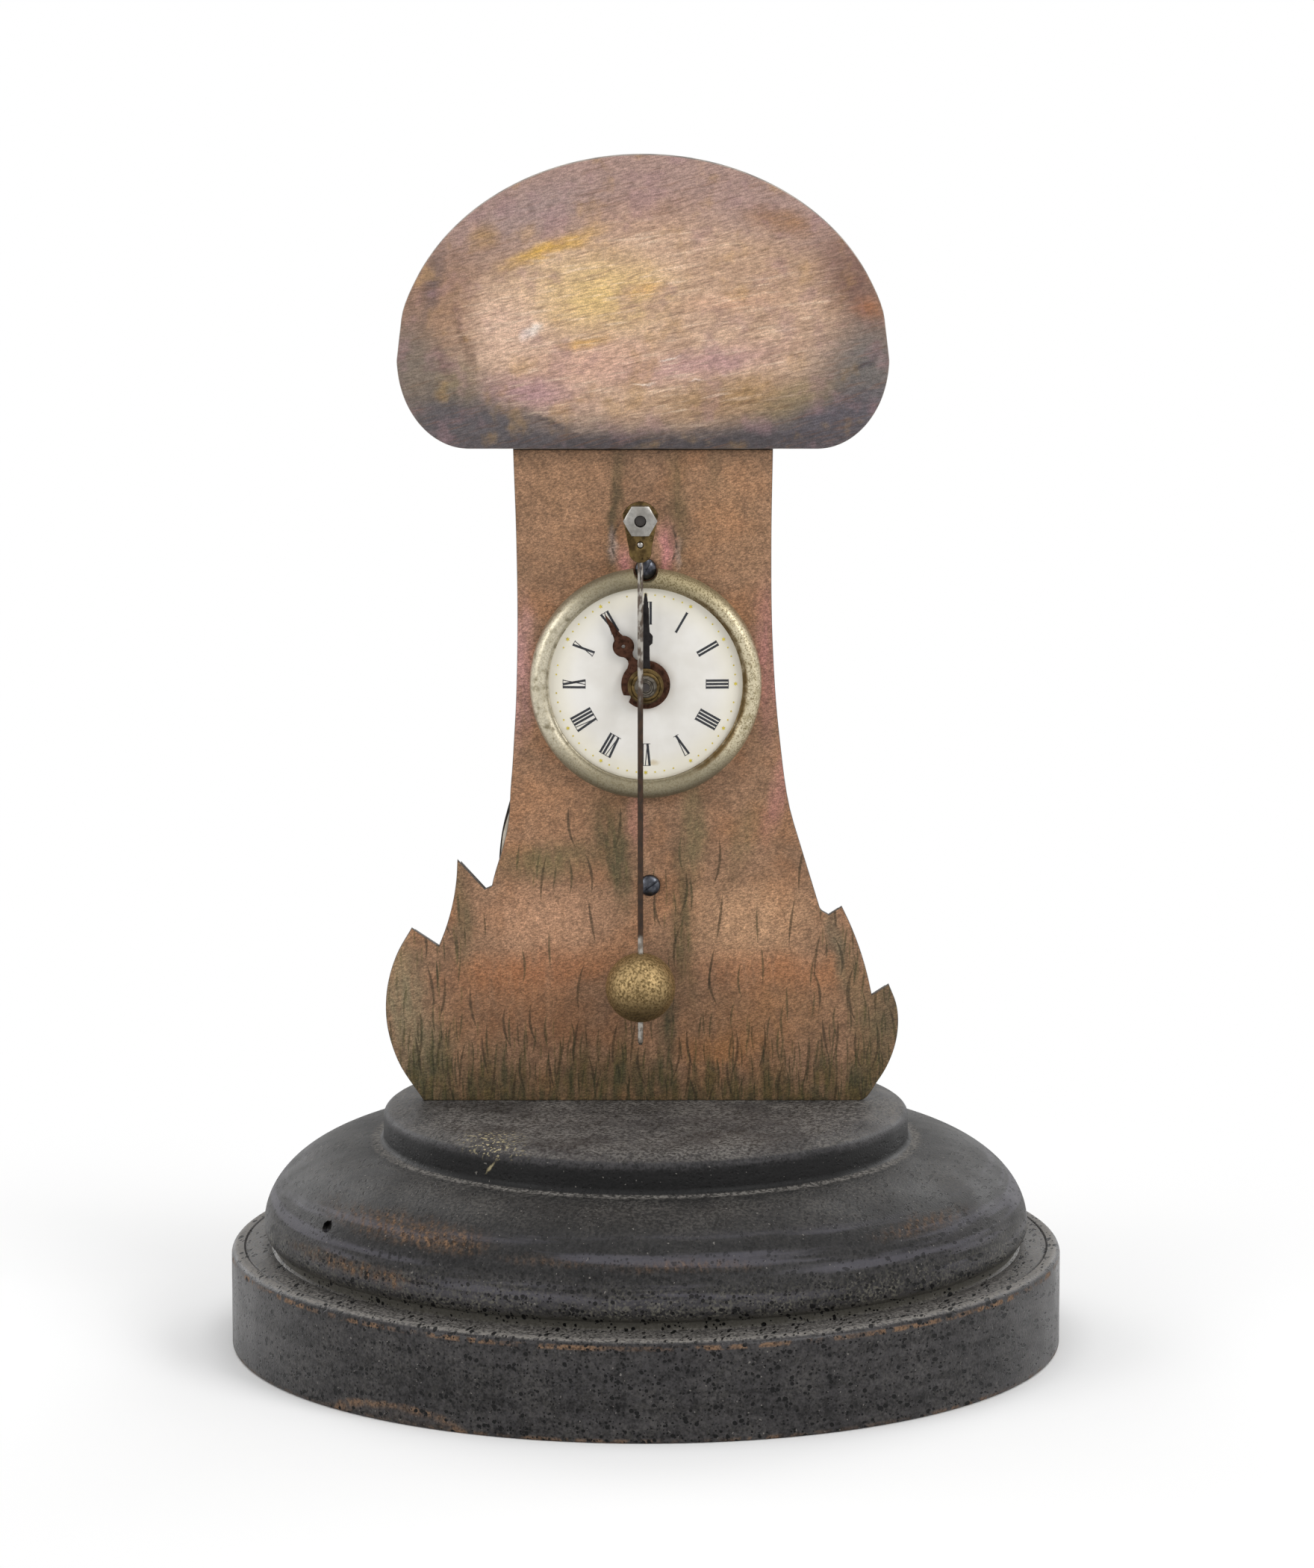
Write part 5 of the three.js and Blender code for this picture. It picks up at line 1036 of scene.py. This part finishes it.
# Base
def base():
    profile = [(0, 0), (BASE_RADIUS - FOOT_ROUND * 2, 0)]
    profile += arc((BASE_RADIUS - FOOT_ROUND, FOOT_ROUND), (FOOT_ROUND, FOOT_ROUND), -90, 0, 4)
    rim = (BASE_RADIUS - PLINTH_ROUND, PLINTH_HEIGHT - PLINTH_ROUND)
    profile += arc(rim, (PLINTH_ROUND, PLINTH_ROUND), 0, 90, 6)
    groove = BASE_RADIUS - PLINTH_ROUND - GROOVE_INSET
    profile += [(groove, PLINTH_HEIGHT), (groove - GROOVE_WIDTH / 2, PLINTH_HEIGHT - GROOVE_DEPTH)]
    profile += [(groove - GROOVE_WIDTH, PLINTH_HEIGHT), (RECESS_RADIUS + RECESS_WIDTH, PLINTH_HEIGHT)]
    profile.append((RECESS_RADIUS, PLINTH_HEIGHT + RECESS_RISE))
    under = (OVOLO_RADIUS - RECESS_RADIUS, OVOLO_WIDEST - OVOLO_FOOT)
    profile += arc((RECESS_RADIUS, OVOLO_WIDEST), under, -80, -10, 6)
    over = (OVOLO_RADIUS - OVOLO_INNER, OVOLO_TOP - OVOLO_WIDEST)
    profile += arc((OVOLO_INNER, OVOLO_WIDEST), over, 0, 86, 26)
    profile += arc((OVOLO_INNER, OVOLO_TOP + COVE_RISE), (OVOLO_INNER - DRUM_RADIUS, COVE_RISE), 270, 180, 5)
    profile += arc((DRUM_RADIUS - SHOULDER_ROUND[0], DRUM_SHOULDER - SHOULDER_DROP), SHOULDER_ROUND, 0, 70, 6)
    profile.append((DRUM_FLAT_RADIUS + DRUM_EASE[0], BASE_HEIGHT - DRUM_EASE[1]))
    profile += [(DRUM_FLAT_RADIUS, BASE_HEIGHT), (0, BASE_HEIGHT)]
    piece = turned("base_fine", profile, (0, 0, 0), 160, upright=True)
    low, high = box("backing_plate")
    slot_low = (-TENON_HALF - TENON_GAP, low.y - TENON_GAP, low.z - TENON_GAP)
    combine(piece, block(slot_low, (TENON_HALF + TENON_GAP, high.y + TENON_GAP, BASE_HEIGHT + 1)))
    combine(piece, turned("cutter", PIT, PIT_PLACE, 7))
    dress(piece, "turned_base")


# Painted front
def slip(spot):
    """How much of the slip shows beside a point of the stem's left edge: 1 at its middle, 0 past its ends."""
    x, z = spot
    share = (z - SLIP_FOOT) / (SLIP_TOP - SLIP_FOOT)
    if not 0 < share < 1 or not SLIP_LEFT < x < 0:
        return 0.0
    return math.sin(math.pi * share) ** 2


def left_edge(loop, z):
    """Where an outline crosses a height on the stem's left side."""
    for (x0, z0), (x1, z1) in zip(loop, loop[1:] + loop[:1]):
        if min(z0, z1) <= z < max(z0, z1):
            x = x0 + (x1 - x0) * (z - z0) / (z1 - z0)
            if SLIP_LEFT < x < 0:
                return x


def front_boards():
    """The painted boards on their backing, whose dark edge and pale lining show along the slip."""
    backing, *backing_holes = [refined(loop, 8) for loop in cad_loops("backing_plate")]
    face, *face_holes = [refined(loop, 6) for loop in cad_loops("stem_face")]
    face = dense(face)
    middle = (SLIP_FOOT + SLIP_TOP) / 2
    inset = left_edge(backing, middle) - left_edge(face, middle)
    front, back = depths("backing_plate")
    backing = [(x - (inset + SLIP_LIP) * slip((x, z)), z) for x, z in dense(backing)]
    dress(plate("backing_plate_fine", [backing] + backing_holes, front, back, 0.05), "backing_plate")
    edge = sorted([spot for spot in face if slip(spot)], key=lambda spot: spot[1])
    lining = [(x + SLIP_REACH * slip((x, z)) + LINING_LAP, z) for x, z in edge]
    for x, z in reversed(edge):
        share = slip((x, z))
        dark_line = inset * (1 - share) - SLIP_LIP * share + SLIP_LINE
        lining.append((x + min(dark_line, SLIP_REACH * share + LINING_SIDE), z))
    pale = plate("card_lining", [lining], front - LINING_DEPTH, front - LINING_GAP, 0.02)
    trim(pale, "backing_plate", CARD_CORE)
    face = [(x + SLIP_REACH * slip((x, z)), z) for x, z in face]
    stem = dress(plate("stem_face_fine", [face] + face_holes, *depths("stem_face"), 0.2), "stem_face")
    cap = dress(refined_plate("cap_face", 0.28, 5), "cap_face")
    edge_finish(stem, CARD_EDGE)
    edge_finish(cap, CAP_EDGE)


# Dial and bezel
def dial_surface(radius):
    """Depth of the domed dial's front at a radius."""
    rim_front = depths("dial")[1] - DIAL_RIM
    return rim_front - DIAL_DOME * (1 - (radius / DIAL_RADIUS) ** 2)


def dial():
    radii = [DIAL_RADIUS - DIAL_EASE] + [DIAL_RADIUS * i / 12 for i in range(11, 1, -1)] + [DIAL_HOLE + 0.2]
    back = depths("dial")[1]
    profile = [(DIAL_RADIUS, back), (DIAL_RADIUS, back - DIAL_RIM + DIAL_EASE)]
    profile += [(radius, dial_surface(radius)) for radius in radii]
    profile += [(DIAL_HOLE, dial_surface(DIAL_HOLE) + 0.2), (DIAL_HOLE, back - DIAL_DOME)]
    foot = DIAL_RADIUS - DIAL_FOOT
    profile += [(foot, back - 0.25), (foot, back), (DIAL_RADIUS, back)]
    dress(turned_node("dial", profile, 128), "dial")


# Letters of the numerals: width, and strokes with both ends' place across, their rise and the thickness
GLYPHS = {
    "I": (0.53, ((0, 0, 0, 1, THICK_STROKE),)),
    "V": (1.0, ((-0.34, 1, 0, 0, THICK_STROKE), (0.34, 1, 0, 0, THIN_STROKE))),
    "X": (1.0, ((-0.32, 1, 0.32, 0, THICK_STROKE), (0.32, 1, -0.32, 0, THIN_STROKE))),
}
NUMERALS = ("XII", "I", "II", "III", "IIII", "V", "VI", "VII", "VIII", "IX", "X", "XI")


def ink_stroke(built, middle, hour, start, end, width):
    """One raised stroke of a numeral: ends are across the numeral and from its foot to its top."""
    angle = math.radians(30 * hour)
    out = Vector((math.sin(angle), math.cos(angle)))
    side = Vector((math.cos(angle), -math.sin(angle)))
    ends = []
    for across, rise in (start, end):
        ends.append(side * across + out * (NUMERAL_FOOT + rise * (NUMERAL_TOP - NUMERAL_FOOT)))
    along = ends[1] - ends[0]
    normal = Vector((-along.y, along.x)).normalized() * width / 2
    rows = []
    for i in range(INK_STEPS + 1):
        at = ends[0] + along * i / INK_STEPS
        row = []
        for spot in (at - normal, at + normal):
            level = dial_surface(spot.length)
            for depth in (level - INK_HEIGHT, level + INK_HEIGHT):
                row.append(built.verts.new((middle.x + spot.x, depth, middle.z + spot.y)))
        rows.append(row)
    for first, second in zip(rows, rows[1:]):
        for a, b in ((0, 2), (2, 3), (3, 1), (1, 0)):
            built.faces.new((first[a], first[b], second[b], second[a]))
    built.faces.new((rows[0][0], rows[0][1], rows[0][3], rows[0][2]))
    built.faces.new((rows[-1][0], rows[-1][2], rows[-1][3], rows[-1][1]))


def numerals():
    built = bmesh.new()
    middle = centre("dial")
    for hour, text in enumerate(NUMERALS):
        width = sum(GLYPHS[letter][0] for letter in text)
        at = -width / 2
        for letter in text:
            room, lines = GLYPHS[letter]
            for x0, v0, x1, v1, thick in lines:
                ink_stroke(built, middle, hour, (at + room / 2 + x0, v0), (at + room / 2 + x1, v1), thick)
            at += room
        half = width / 2 - SERIF_INSET
        for rise in (0.012, 0.988):
            ink_stroke(built, middle, hour, (-half, rise), (half, rise), SERIF_STROKE)
    trim(finish_mesh("dial_numerals", built), "dial", DIAL_INK)


def minute_ring():
    """Gilt dots for the minutes and small stars for the hours, a few of them worn away."""
    built = bmesh.new()
    middle = centre("dial")
    level = dial_surface(DOT_RING)
    chance = random.Random(5)
    for minute in range(60):
        if chance.random() < WORN_DOTS:
            continue
        angle = math.radians(6 * minute)
        at = Vector((DOT_RING * math.sin(angle), DOT_RING * math.cos(angle)))
        points = 12 if minute % 5 == 0 else 6
        rim = []
        for i in range(points):
            radius = DOT_RADIUS if minute % 5 else STAR_RADIUS * (1 if i % 2 else STAR_WAIST)
            turn = math.tau * i / points
            rim.append((at.x + radius * math.cos(turn), at.y + radius * math.sin(turn)))
        low = [built.verts.new((middle.x + x, level + INK_HEIGHT, middle.z + z)) for x, z in rim]
        high = [built.verts.new((middle.x + x, level - INK_HEIGHT, middle.z + z)) for x, z in rim]
        built.faces.new(high)
        built.faces.new(low[::-1])
        for i in range(points):
            built.faces.new((low[i], low[(i + 1) % points], high[(i + 1) % points], high[i]))
    trim(finish_mesh("minute_ring", built), "dial", DIAL_GILT)


def bezel():
    front, back = depths("bezel")
    outer = half_width("bezel")
    lip = front + BEZEL_LIP
    shoulder = back - BEZEL_SIDE
    profile = [(BEZEL_REBATE, back), (outer, back)]
    profile += arc((BEZEL_CREST, shoulder), (outer - BEZEL_CREST, front - shoulder), 0, 90, 12)
    mouth = (BEZEL_CREST - BEZEL_OPENING - 0.2, front - lip + 0.25)
    profile += arc((BEZEL_CREST, lip - 0.25), mouth, 98, 172, 9)
    profile += [(BEZEL_OPENING + 0.14, lip - 0.3), (BEZEL_OPENING, lip - 0.2), (BEZEL_OPENING, lip + 0.65)]
    profile += [(BEZEL_REBATE, lip + 0.7), (BEZEL_REBATE, back)]
    piece = turned("bezel_fine", profile, axis_of("dial"), 160)
    notch = [(0, front - 1), (NOTCH_RADIUS, front - 1), (NOTCH_RADIUS, back + 1), (0, back + 1)]
    combine(piece, turned("cutter", notch, axis_of("mount_screw_upper"), 40))
    dress(piece, "bezel")


# Hands
def hand(node, loops, material, turn=0.0):
    """A flat hand from outlines that point to twelve, set on the centre arbor and turned by degrees."""
    middle = centre("centre_arbor")
    placed = [moved(loop, (middle.x, middle.z), turn) for loop in loops]
    dress(plate(node + "_fine", placed, *depths(node), HAND_BEVEL), node, material)


def hour_hand():
    neck = math.degrees(math.asin(HOUR_NECK / HOUR_HUB)) + 9
    hub = arc((0, 0), (HOUR_HUB, HOUR_HUB), 90 - neck, neck - 270, 48)
    bearings = [math.degrees(math.atan2(z, x)) % 360 for x, z in hub]
    before = [spot for spot, bearing in zip(hub, bearings) if spot[0] > 0 or bearing >= CHIP_ANGLES[1]]
    after = [spot for spot, bearing in zip(hub, bearings) if spot[0] <= 0 and bearing <= CHIP_ANGLES[0]]
    right = [(0.66, HOUR_HUB + 0.35), (0.52, HOUR_HUB + 0.85), (0.62, HOUR_HUB + 1.3)]
    right += arc((0, HOUR_POMME_PLACE), (HOUR_POMME, HOUR_POMME), -60, 62, 14)
    right += [(0.62, HOUR_POMME_PLACE + 1.85), (0.5, HOUR_POMME_PLACE + 2.6)]
    right += [(0.36, HOUR_TIP - 1.6), (0.06, HOUR_TIP)]
    outline = before + HOUR_CHIP + after + [(-x, z) for x, z in right] + right[::-1]
    loops = [outline, circle(HOUR_BORE, 24), circle(0.28, 10, (0, HOUR_POMME_PLACE))]
    hand("hour_hand", loops, RUST_BROWN, -360 / 12 * SHOWN_HOUR)


def minute_hand():
    right = arc((0, 0), (MINUTE_HUB, MINUTE_HUB), -90, 70, 20)
    right += [(0.72, 2.9), (0.62, 4.4), (0.6, 6.1), (0.78, 6.3), (1.05, 6.5), (1.1, 7.6), (0.85, 7.95)]
    right += [(0.62, 8.2), (0.55, 9.4), (0.52, 11.0), (0.5, 11.9), (0.34, 12.2), (0.3, 13.2)]
    right.append((0.16, MINUTE_TIP))
    hand("minute_hand", [mirrored(right), circle(MINUTE_BORE, 20)], BLACK_STEEL)


def grooved_disc(node, grooves, material=None):
    """A small turned disc with fine ridges on its front."""
    front, back = depths(node)
    radius = half_width(node)
    profile = [(COLLET_BORE, back), (radius, back), (radius, front + 0.3), (radius - 0.15, front + 0.12)]
    for i in range(grooves):
        at = radius - 0.25 - (radius - COLLET_BORE - 0.4) * i / grooves
        profile += [(at, front), (at - 0.22, front), (at - 0.3, front + 0.14)]
    profile += [(COLLET_BORE, front + 0.1), (COLLET_BORE, back)]
    dress(turned_node(node, profile, 64), node, material)


# Screws and nuts
def slotted_screw(node, head, slot_turn, outward):
    """A domed screw with a saw slot; outward is -1 where the head faces the front."""
    front, back = depths(node)
    radius = half_width(node)
    tip, end = (front, back) if outward < 0 else (back, front)
    seat = tip - outward * head
    shank = radius * SCREW_SHANK
    profile = arc((0, seat + outward * head * 0.35), (radius, outward * head * 0.65), 90, 0, 8)
    profile += [(radius, seat), (shank, seat), (shank, end), (0, end)]
    piece = turned_node(node, profile, 40)
    low, high = sorted((tip + outward, tip - outward * head * 0.5))
    slot = block((-radius * 2, low, -SLOT_HALF), (radius * 2, high, SLOT_HALF), axis_of(node), slot_turn)
    dress(combine(piece, slot), node)


def hex_nut(node, outward):
    """A hexagon nut with turned chamfers on its outer face."""
    front, back = depths(node)
    low, high = box(node)
    corner, flat = half_width(node), (high.z - low.z) / 2
    middle = centre(node)
    bore = circle(max(flat * 0.38, 0.9), 28, (middle.x, middle.z))
    piece = plate(node + "_fine", [cad_loops(node)[0], bore], front, back, 0.04)
    outer, inner = (front, back) if outward < 0 else (back, front)
    rim = flat * NUT_CHAMFER
    drop = (corner - rim) * 0.6 + 0.18
    reach = corner + NUT_REACH
    profile = [(0, inner - outward), (reach, inner - outward), (reach, outer - outward * drop)]
    profile += [(rim, outer), (0, outer)]
    dress(combine(piece, turned("cutter", profile, axis_of(node), 64), "INTERSECT"), node)


# Pendulum
def pendulum_rod():
    low, high = box("pendulum_rod")
    middle = centre("pallet_arbor")
    eye_at = high.z - ROD_EYE
    half = ROD_WIDTH / 2
    neck = math.degrees(math.asin(half / ROD_EYE))
    right = [(half * 0.55, low.z), (half, low.z + 0.5), (half, eye_at - ROD_EYE - 1.0)]
    right += arc((0, eye_at), (ROD_EYE, ROD_EYE), -90 + neck, 90, 14)
    loops = [moved(mirrored(right), (middle.x, 0)), circle(ROD_BORE, 16, (middle.x, eye_at))]
    front = (low.y + high.y - ROD_DEPTH) / 2
    piece = plate("pendulum_rod_fine", loops, front, front + ROD_DEPTH, 0.16)
    slit_low = (-ROD_SLIT / 2, front - 1, eye_at - SLIT_FROM_EYE[0])
    slit_high = (ROD_SLIT / 2, front + ROD_DEPTH + 1, eye_at - SLIT_FROM_EYE[1])
    dress(combine(piece, block(slit_low, slit_high, (middle.x, 0, 0))), "pendulum_rod")


def bob():
    radius = half_width("bob")
    mouth = math.degrees(math.acos((BOB_BORE + 0.2) / radius))
    end = (BOB_BORE, -radius * 0.985)
    profile = [end] + arc((0, 0), (radius, radius), -mouth, mouth, 44) + [(BOB_BORE, radius * 0.985), end]
    dress(turned("bob_fine", profile, centre("bob"), 72, upright=True), "bob")


def crutch_pin():
    front, back = depths("crutch_pin")
    radius = half_width("crutch_pin")
    profile = arc((0, front + 0.2), (radius, -0.2), 90, 0, 5) + [(radius, back), (0, back)]
    dress(turned_node("crutch_pin", profile, 24), "crutch_pin")


# Movement
def movement_plate(node):
    """A plate with oil sinks turned round its pivot holes."""
    piece = refined_plate(node, 0.12)
    back = depths(node)[1]
    sink = [(radius, back + along) for radius, along in SINK]
    for arbor in ("third_arbor", "escape_arbor"):
        combine(piece, turned("cutter", sink, axis_of(arbor), 32))
    dress(piece, node)


def pillar(node):
    front, back = depths(node)
    start, end = depths("front_plate")[1], depths("back_plate")[0]
    ring = half_width(node)
    waist = (end - start) * 0.3
    half = [(PILLAR_STUB, front), (PILLAR_STUB, start), (ring, start)]
    half += [(ring, start + 0.7), (ring - 0.25, start + 0.9)]
    half += arc((ring + 0.25, start + waist), (ring - 1.25, waist - 1.1), 270, 180, 6)
    far = [(radius, start + end - along) for radius, along in reversed(half[1:])]
    tip = [(PILLAR_STUB, back - 0.15), (PILLAR_STUB - 0.15, back), (0, back)]
    dress(turned_node(node, [(0, front)] + half + far + tip, 40), node)


def barrel():
    front, back = depths("barrel")
    floor_back = front + BARREL_FLOOR
    piece = plate("barrel_fine", [refined(loop) for loop in cad_loops("barrel")], front, floor_back, 0.06)
    inner, wall, band = BARREL_INNER, BARREL_WALL, BARREL_WALL - 0.12
    foot = floor_back - 0.3
    profile = [(inner, foot), (wall, foot), (wall, back - 1.3), (band, back - 1.2)]
    profile += [(band, back - 1.05), (wall, back - 0.95), (wall, back - 0.15), (wall - 0.15, back)]
    profile += [(inner, back), (inner, foot)]
    dress(combine(piece, turned("cutter", profile, axis_of("barrel"), 96), "UNION"), "barrel")


def barrel_cover():
    front, back = depths("barrel_cover")
    radius = half_width("barrel_cover")
    profile = [(COVER_BORE, front), (radius, front), (radius, back - 0.12), (radius - 0.12, back)]
    profile += [(8.2, back), (8.1, back - 0.12), (7.9, back - 0.12), (7.8, back)]
    profile += [(3.4, back), (3.2, back - 0.15), (COVER_BORE, back - 0.15), (COVER_BORE, front)]
    piece = turned_node("barrel_cover", profile, 96)
    lever = block((-0.8, front - 1, radius - 1.3), (0.8, back + 1, radius + 1), axis_of("barrel_cover"), 35)
    dress(combine(piece, lever), "barrel_cover")


def winding_arbor():
    front, back = depths("winding_arbor")
    plate_back = depths("back_plate")[1]
    core = half_width("winding_arbor")
    core_front = depths("barrel")[0] + BARREL_FLOOR + CORE_GAP
    core_back = depths("barrel_cover")[0] - CORE_GAP
    profile = [(0, front), (WINDING_RADIUS, front), (WINDING_RADIUS, core_front), (core, core_front)]
    profile += [(core, core_back), (WINDING_RADIUS, core_back), (WINDING_RADIUS, plate_back), (0, plate_back)]
    piece = turned_node("winding_arbor", profile, 40)
    at = axis_of("winding_arbor")
    square = block((-SQUARE_HALF, plate_back - 1, -SQUARE_HALF), (SQUARE_HALF, back, SQUARE_HALF), at)
    cone = [(0, plate_back - 2), (2, plate_back - 2), (2, back - 0.9), (SQUARE_HALF * 0.95, back), (0, back)]
    combine(square, turned("cutter", cone, at, 40), "INTERSECT")
    dress(combine(piece, square, "UNION"), "winding_arbor")


def bevelled_copy(node, width):
    """A copy of a CAD node's solid with its sharp edges broken."""
    built = bmesh.new()
    built.from_mesh(frame["nodes"][node].data)
    bmesh.ops.scale(built, vec=(1 / MM, 1 / MM, 1 / MM), verts=built.verts)
    bmesh.ops.remove_doubles(built, verts=built.verts, dist=MERGE)
    bmesh.ops.dissolve_limit(built, angle_limit=0.02, verts=built.verts, edges=built.edges)
    inner = [edge for edge in built.edges if len(edge.link_faces) == 2]
    sharp = [edge for edge in inner if edge.calc_face_angle() > CORNER_ANGLE]
    rounding = {"offset": width, "segments": 2, "profile": 0.5, "clamp_overlap": True}
    bmesh.ops.bevel(built, geom=sharp, affect="EDGES", **rounding)
    dress(finish_mesh(node + "_fine", built), node)


def movement():
    movement_plate("front_plate")
    movement_plate("back_plate")
    for corner in ("upper_left", "upper_right", "lower_left", "lower_right"):
        pillar("pillar_" + corner)
        hex_nut("pillar_nut_" + corner, 1)
    bevelled_copy("pallet_cock", 0.12)
    barrel()
    barrel_cover()
    winding_arbor()
    for node, slot_turn in SLOT_TURNS.items():
        slotted_screw(node, 0.8, slot_turn, 1)
    for node in ("ratchet_wheel", "click", "click_spring", "anchor"):
        dress(refined_plate(node, 0.07), node)
    for node in ("centre_wheel", "third_wheel", "escape_wheel"):
        dress(refined_plate(node, 0.05, 6), node)


def kept_nodes():
    """CAD nodes that stay as they are get their slot's finish; the pallet and centre arbors then get a
    near-black finish as painted shade.
    """
    for name, node in frame["nodes"].items():
        if not node.hide_render:
            node.data.materials.clear()
            node.data.materials.append(FINISHES[SLOT_OF[name]])
    # Painted shade: the arbor ends seen in the nuts' bores are near black
    for name in ("pallet_arbor", "centre_arbor"):
        frame["nodes"][name].data.materials[0] = SHADED_BORE


# Floor, light and camera
def floor():
    """Pale paper under the clock that fades into the white of the world."""
    material = bpy.data.materials.new("pale_floor")
    material.use_nodes = True
    tree = material.node_tree
    tree.nodes.clear()
    spot = add_node(tree, "TexCoord").outputs["Object"]
    reach = add_node(tree, "VectorMath", {0: spot}, operation="LENGTH").outputs["Value"]
    inputs = {0: reach, 1: FLOOR_FADE[0], 2: FLOOR_FADE[1]}
    fade = add_node(tree, "MapRange", inputs, interpolation_type="SMOOTHSTEP").outputs[0]
    paper = add_node(tree, "BsdfDiffuse", {"Color": FLOOR_COLOUR}).outputs[0]
    glow = add_node(tree, "Emission").outputs[0]
    blend = add_node(tree, "MixShader", {0: fade, 1: paper, 2: glow}).outputs[0]
    add_node(tree, "OutputMaterial", {"Surface": blend})
    mesh = bpy.data.meshes.new("floor")
    half = FLOOR_HALF
    corners = [(-half, -half, 0), (half, -half, 0), (half, half, 0), (-half, half, 0)]
    mesh.from_pydata(corners, [], [(0, 1, 2, 3)])
    mesh.materials.append(material)
    piece = add_object("floor", mesh)


def world():
    """White to the camera and in reflections, and a soft even light on the object."""
    made = bpy.data.worlds.new("studio")
    made.use_nodes = True
    tree = made.node_tree
    path = add_node(tree, "LightPath").outputs
    seen = {0: path["Is Camera Ray"], 1: path["Is Transmission Ray"]}
    seen = add_node(tree, "Math", seen, operation="MAXIMUM").outputs[0]
    shown = add_node(tree, "Math", {0: seen, 1: path["Is Glossy Ray"]}, operation="MAXIMUM").outputs[0]
    strength = add_node(tree, "MapRange", {0: shown, 3: SOFT_LIGHT, 4: 1.0}).outputs[0]
    background = tree.nodes["Background"]
    background.inputs["Color"].default_value = (1, 1, 1, 1)
    tree.links.new(strength, background.inputs["Strength"])
    bpy.context.scene.world = made


def area_light(name, place, size, power):
    """A square softbox that faces the object's middle."""
    light = bpy.data.lights.new(name, "AREA")
    light.size = size
    light.energy = power
    lamp = add_object(name, light)
    lamp.location = place
    lamp.rotation_euler = (LIT_PLACE - Vector(place)).to_track_quat("-Z", "Y").to_euler()


def lights():
    area_light("key", (0.75, -0.7, 0.7), 0.5, 5.2)
    area_light("fill", (-0.85, -0.65, 0.5), 0.6, 3.4)
    area_light("top", (0.0, -0.1, 1.1), 0.8, 3.6)
    area_light("back_right", (0.6, 0.9, 0.6), 0.6, 3.2)
    area_light("back_left", (-0.7, 0.85, 0.5), 0.6, 3.0)


def camera():
    """The photograph's view: a long lens a metre away, a little above the clock."""
    lens = bpy.data.cameras.new("camera")
    lens.sensor_fit = "VERTICAL"
    lens.sensor_height = SENSOR
    lens.sensor_width = SENSOR
    lens.lens = LENS_LENGTH
    lens.clip_start = 0.05
    viewer = add_object("camera", lens)
    viewer.location = CAMERA_PLACE
    viewer.rotation_euler = (math.radians(90 - CAMERA_DROP), 0, 0)
    bpy.context.scene.camera = viewer


def clock():
    base()
    front_boards()
    dial()
    numerals()
    minute_ring()
    bezel()
    slotted_screw("mount_screw_upper", 1.2, 60, -1)
    slotted_screw("mount_screw_lower", 1.2, 35, -1)
    hour_hand()
    minute_hand()
    grooved_disc("hand_collet", 3)
    grooved_disc("hand_nut", 2, DULL_STEEL)
    dress(refined_plate("crutch", 0.16, 5), "crutch")
    hex_nut("crutch_nut", -1)
    crutch_pin()
    pendulum_rod()
    bob()
    movement()
    kept_nodes()


bpy.context.scene.view_settings.view_transform = "Standard"
clock()
floor()
world()
lights()
camera()
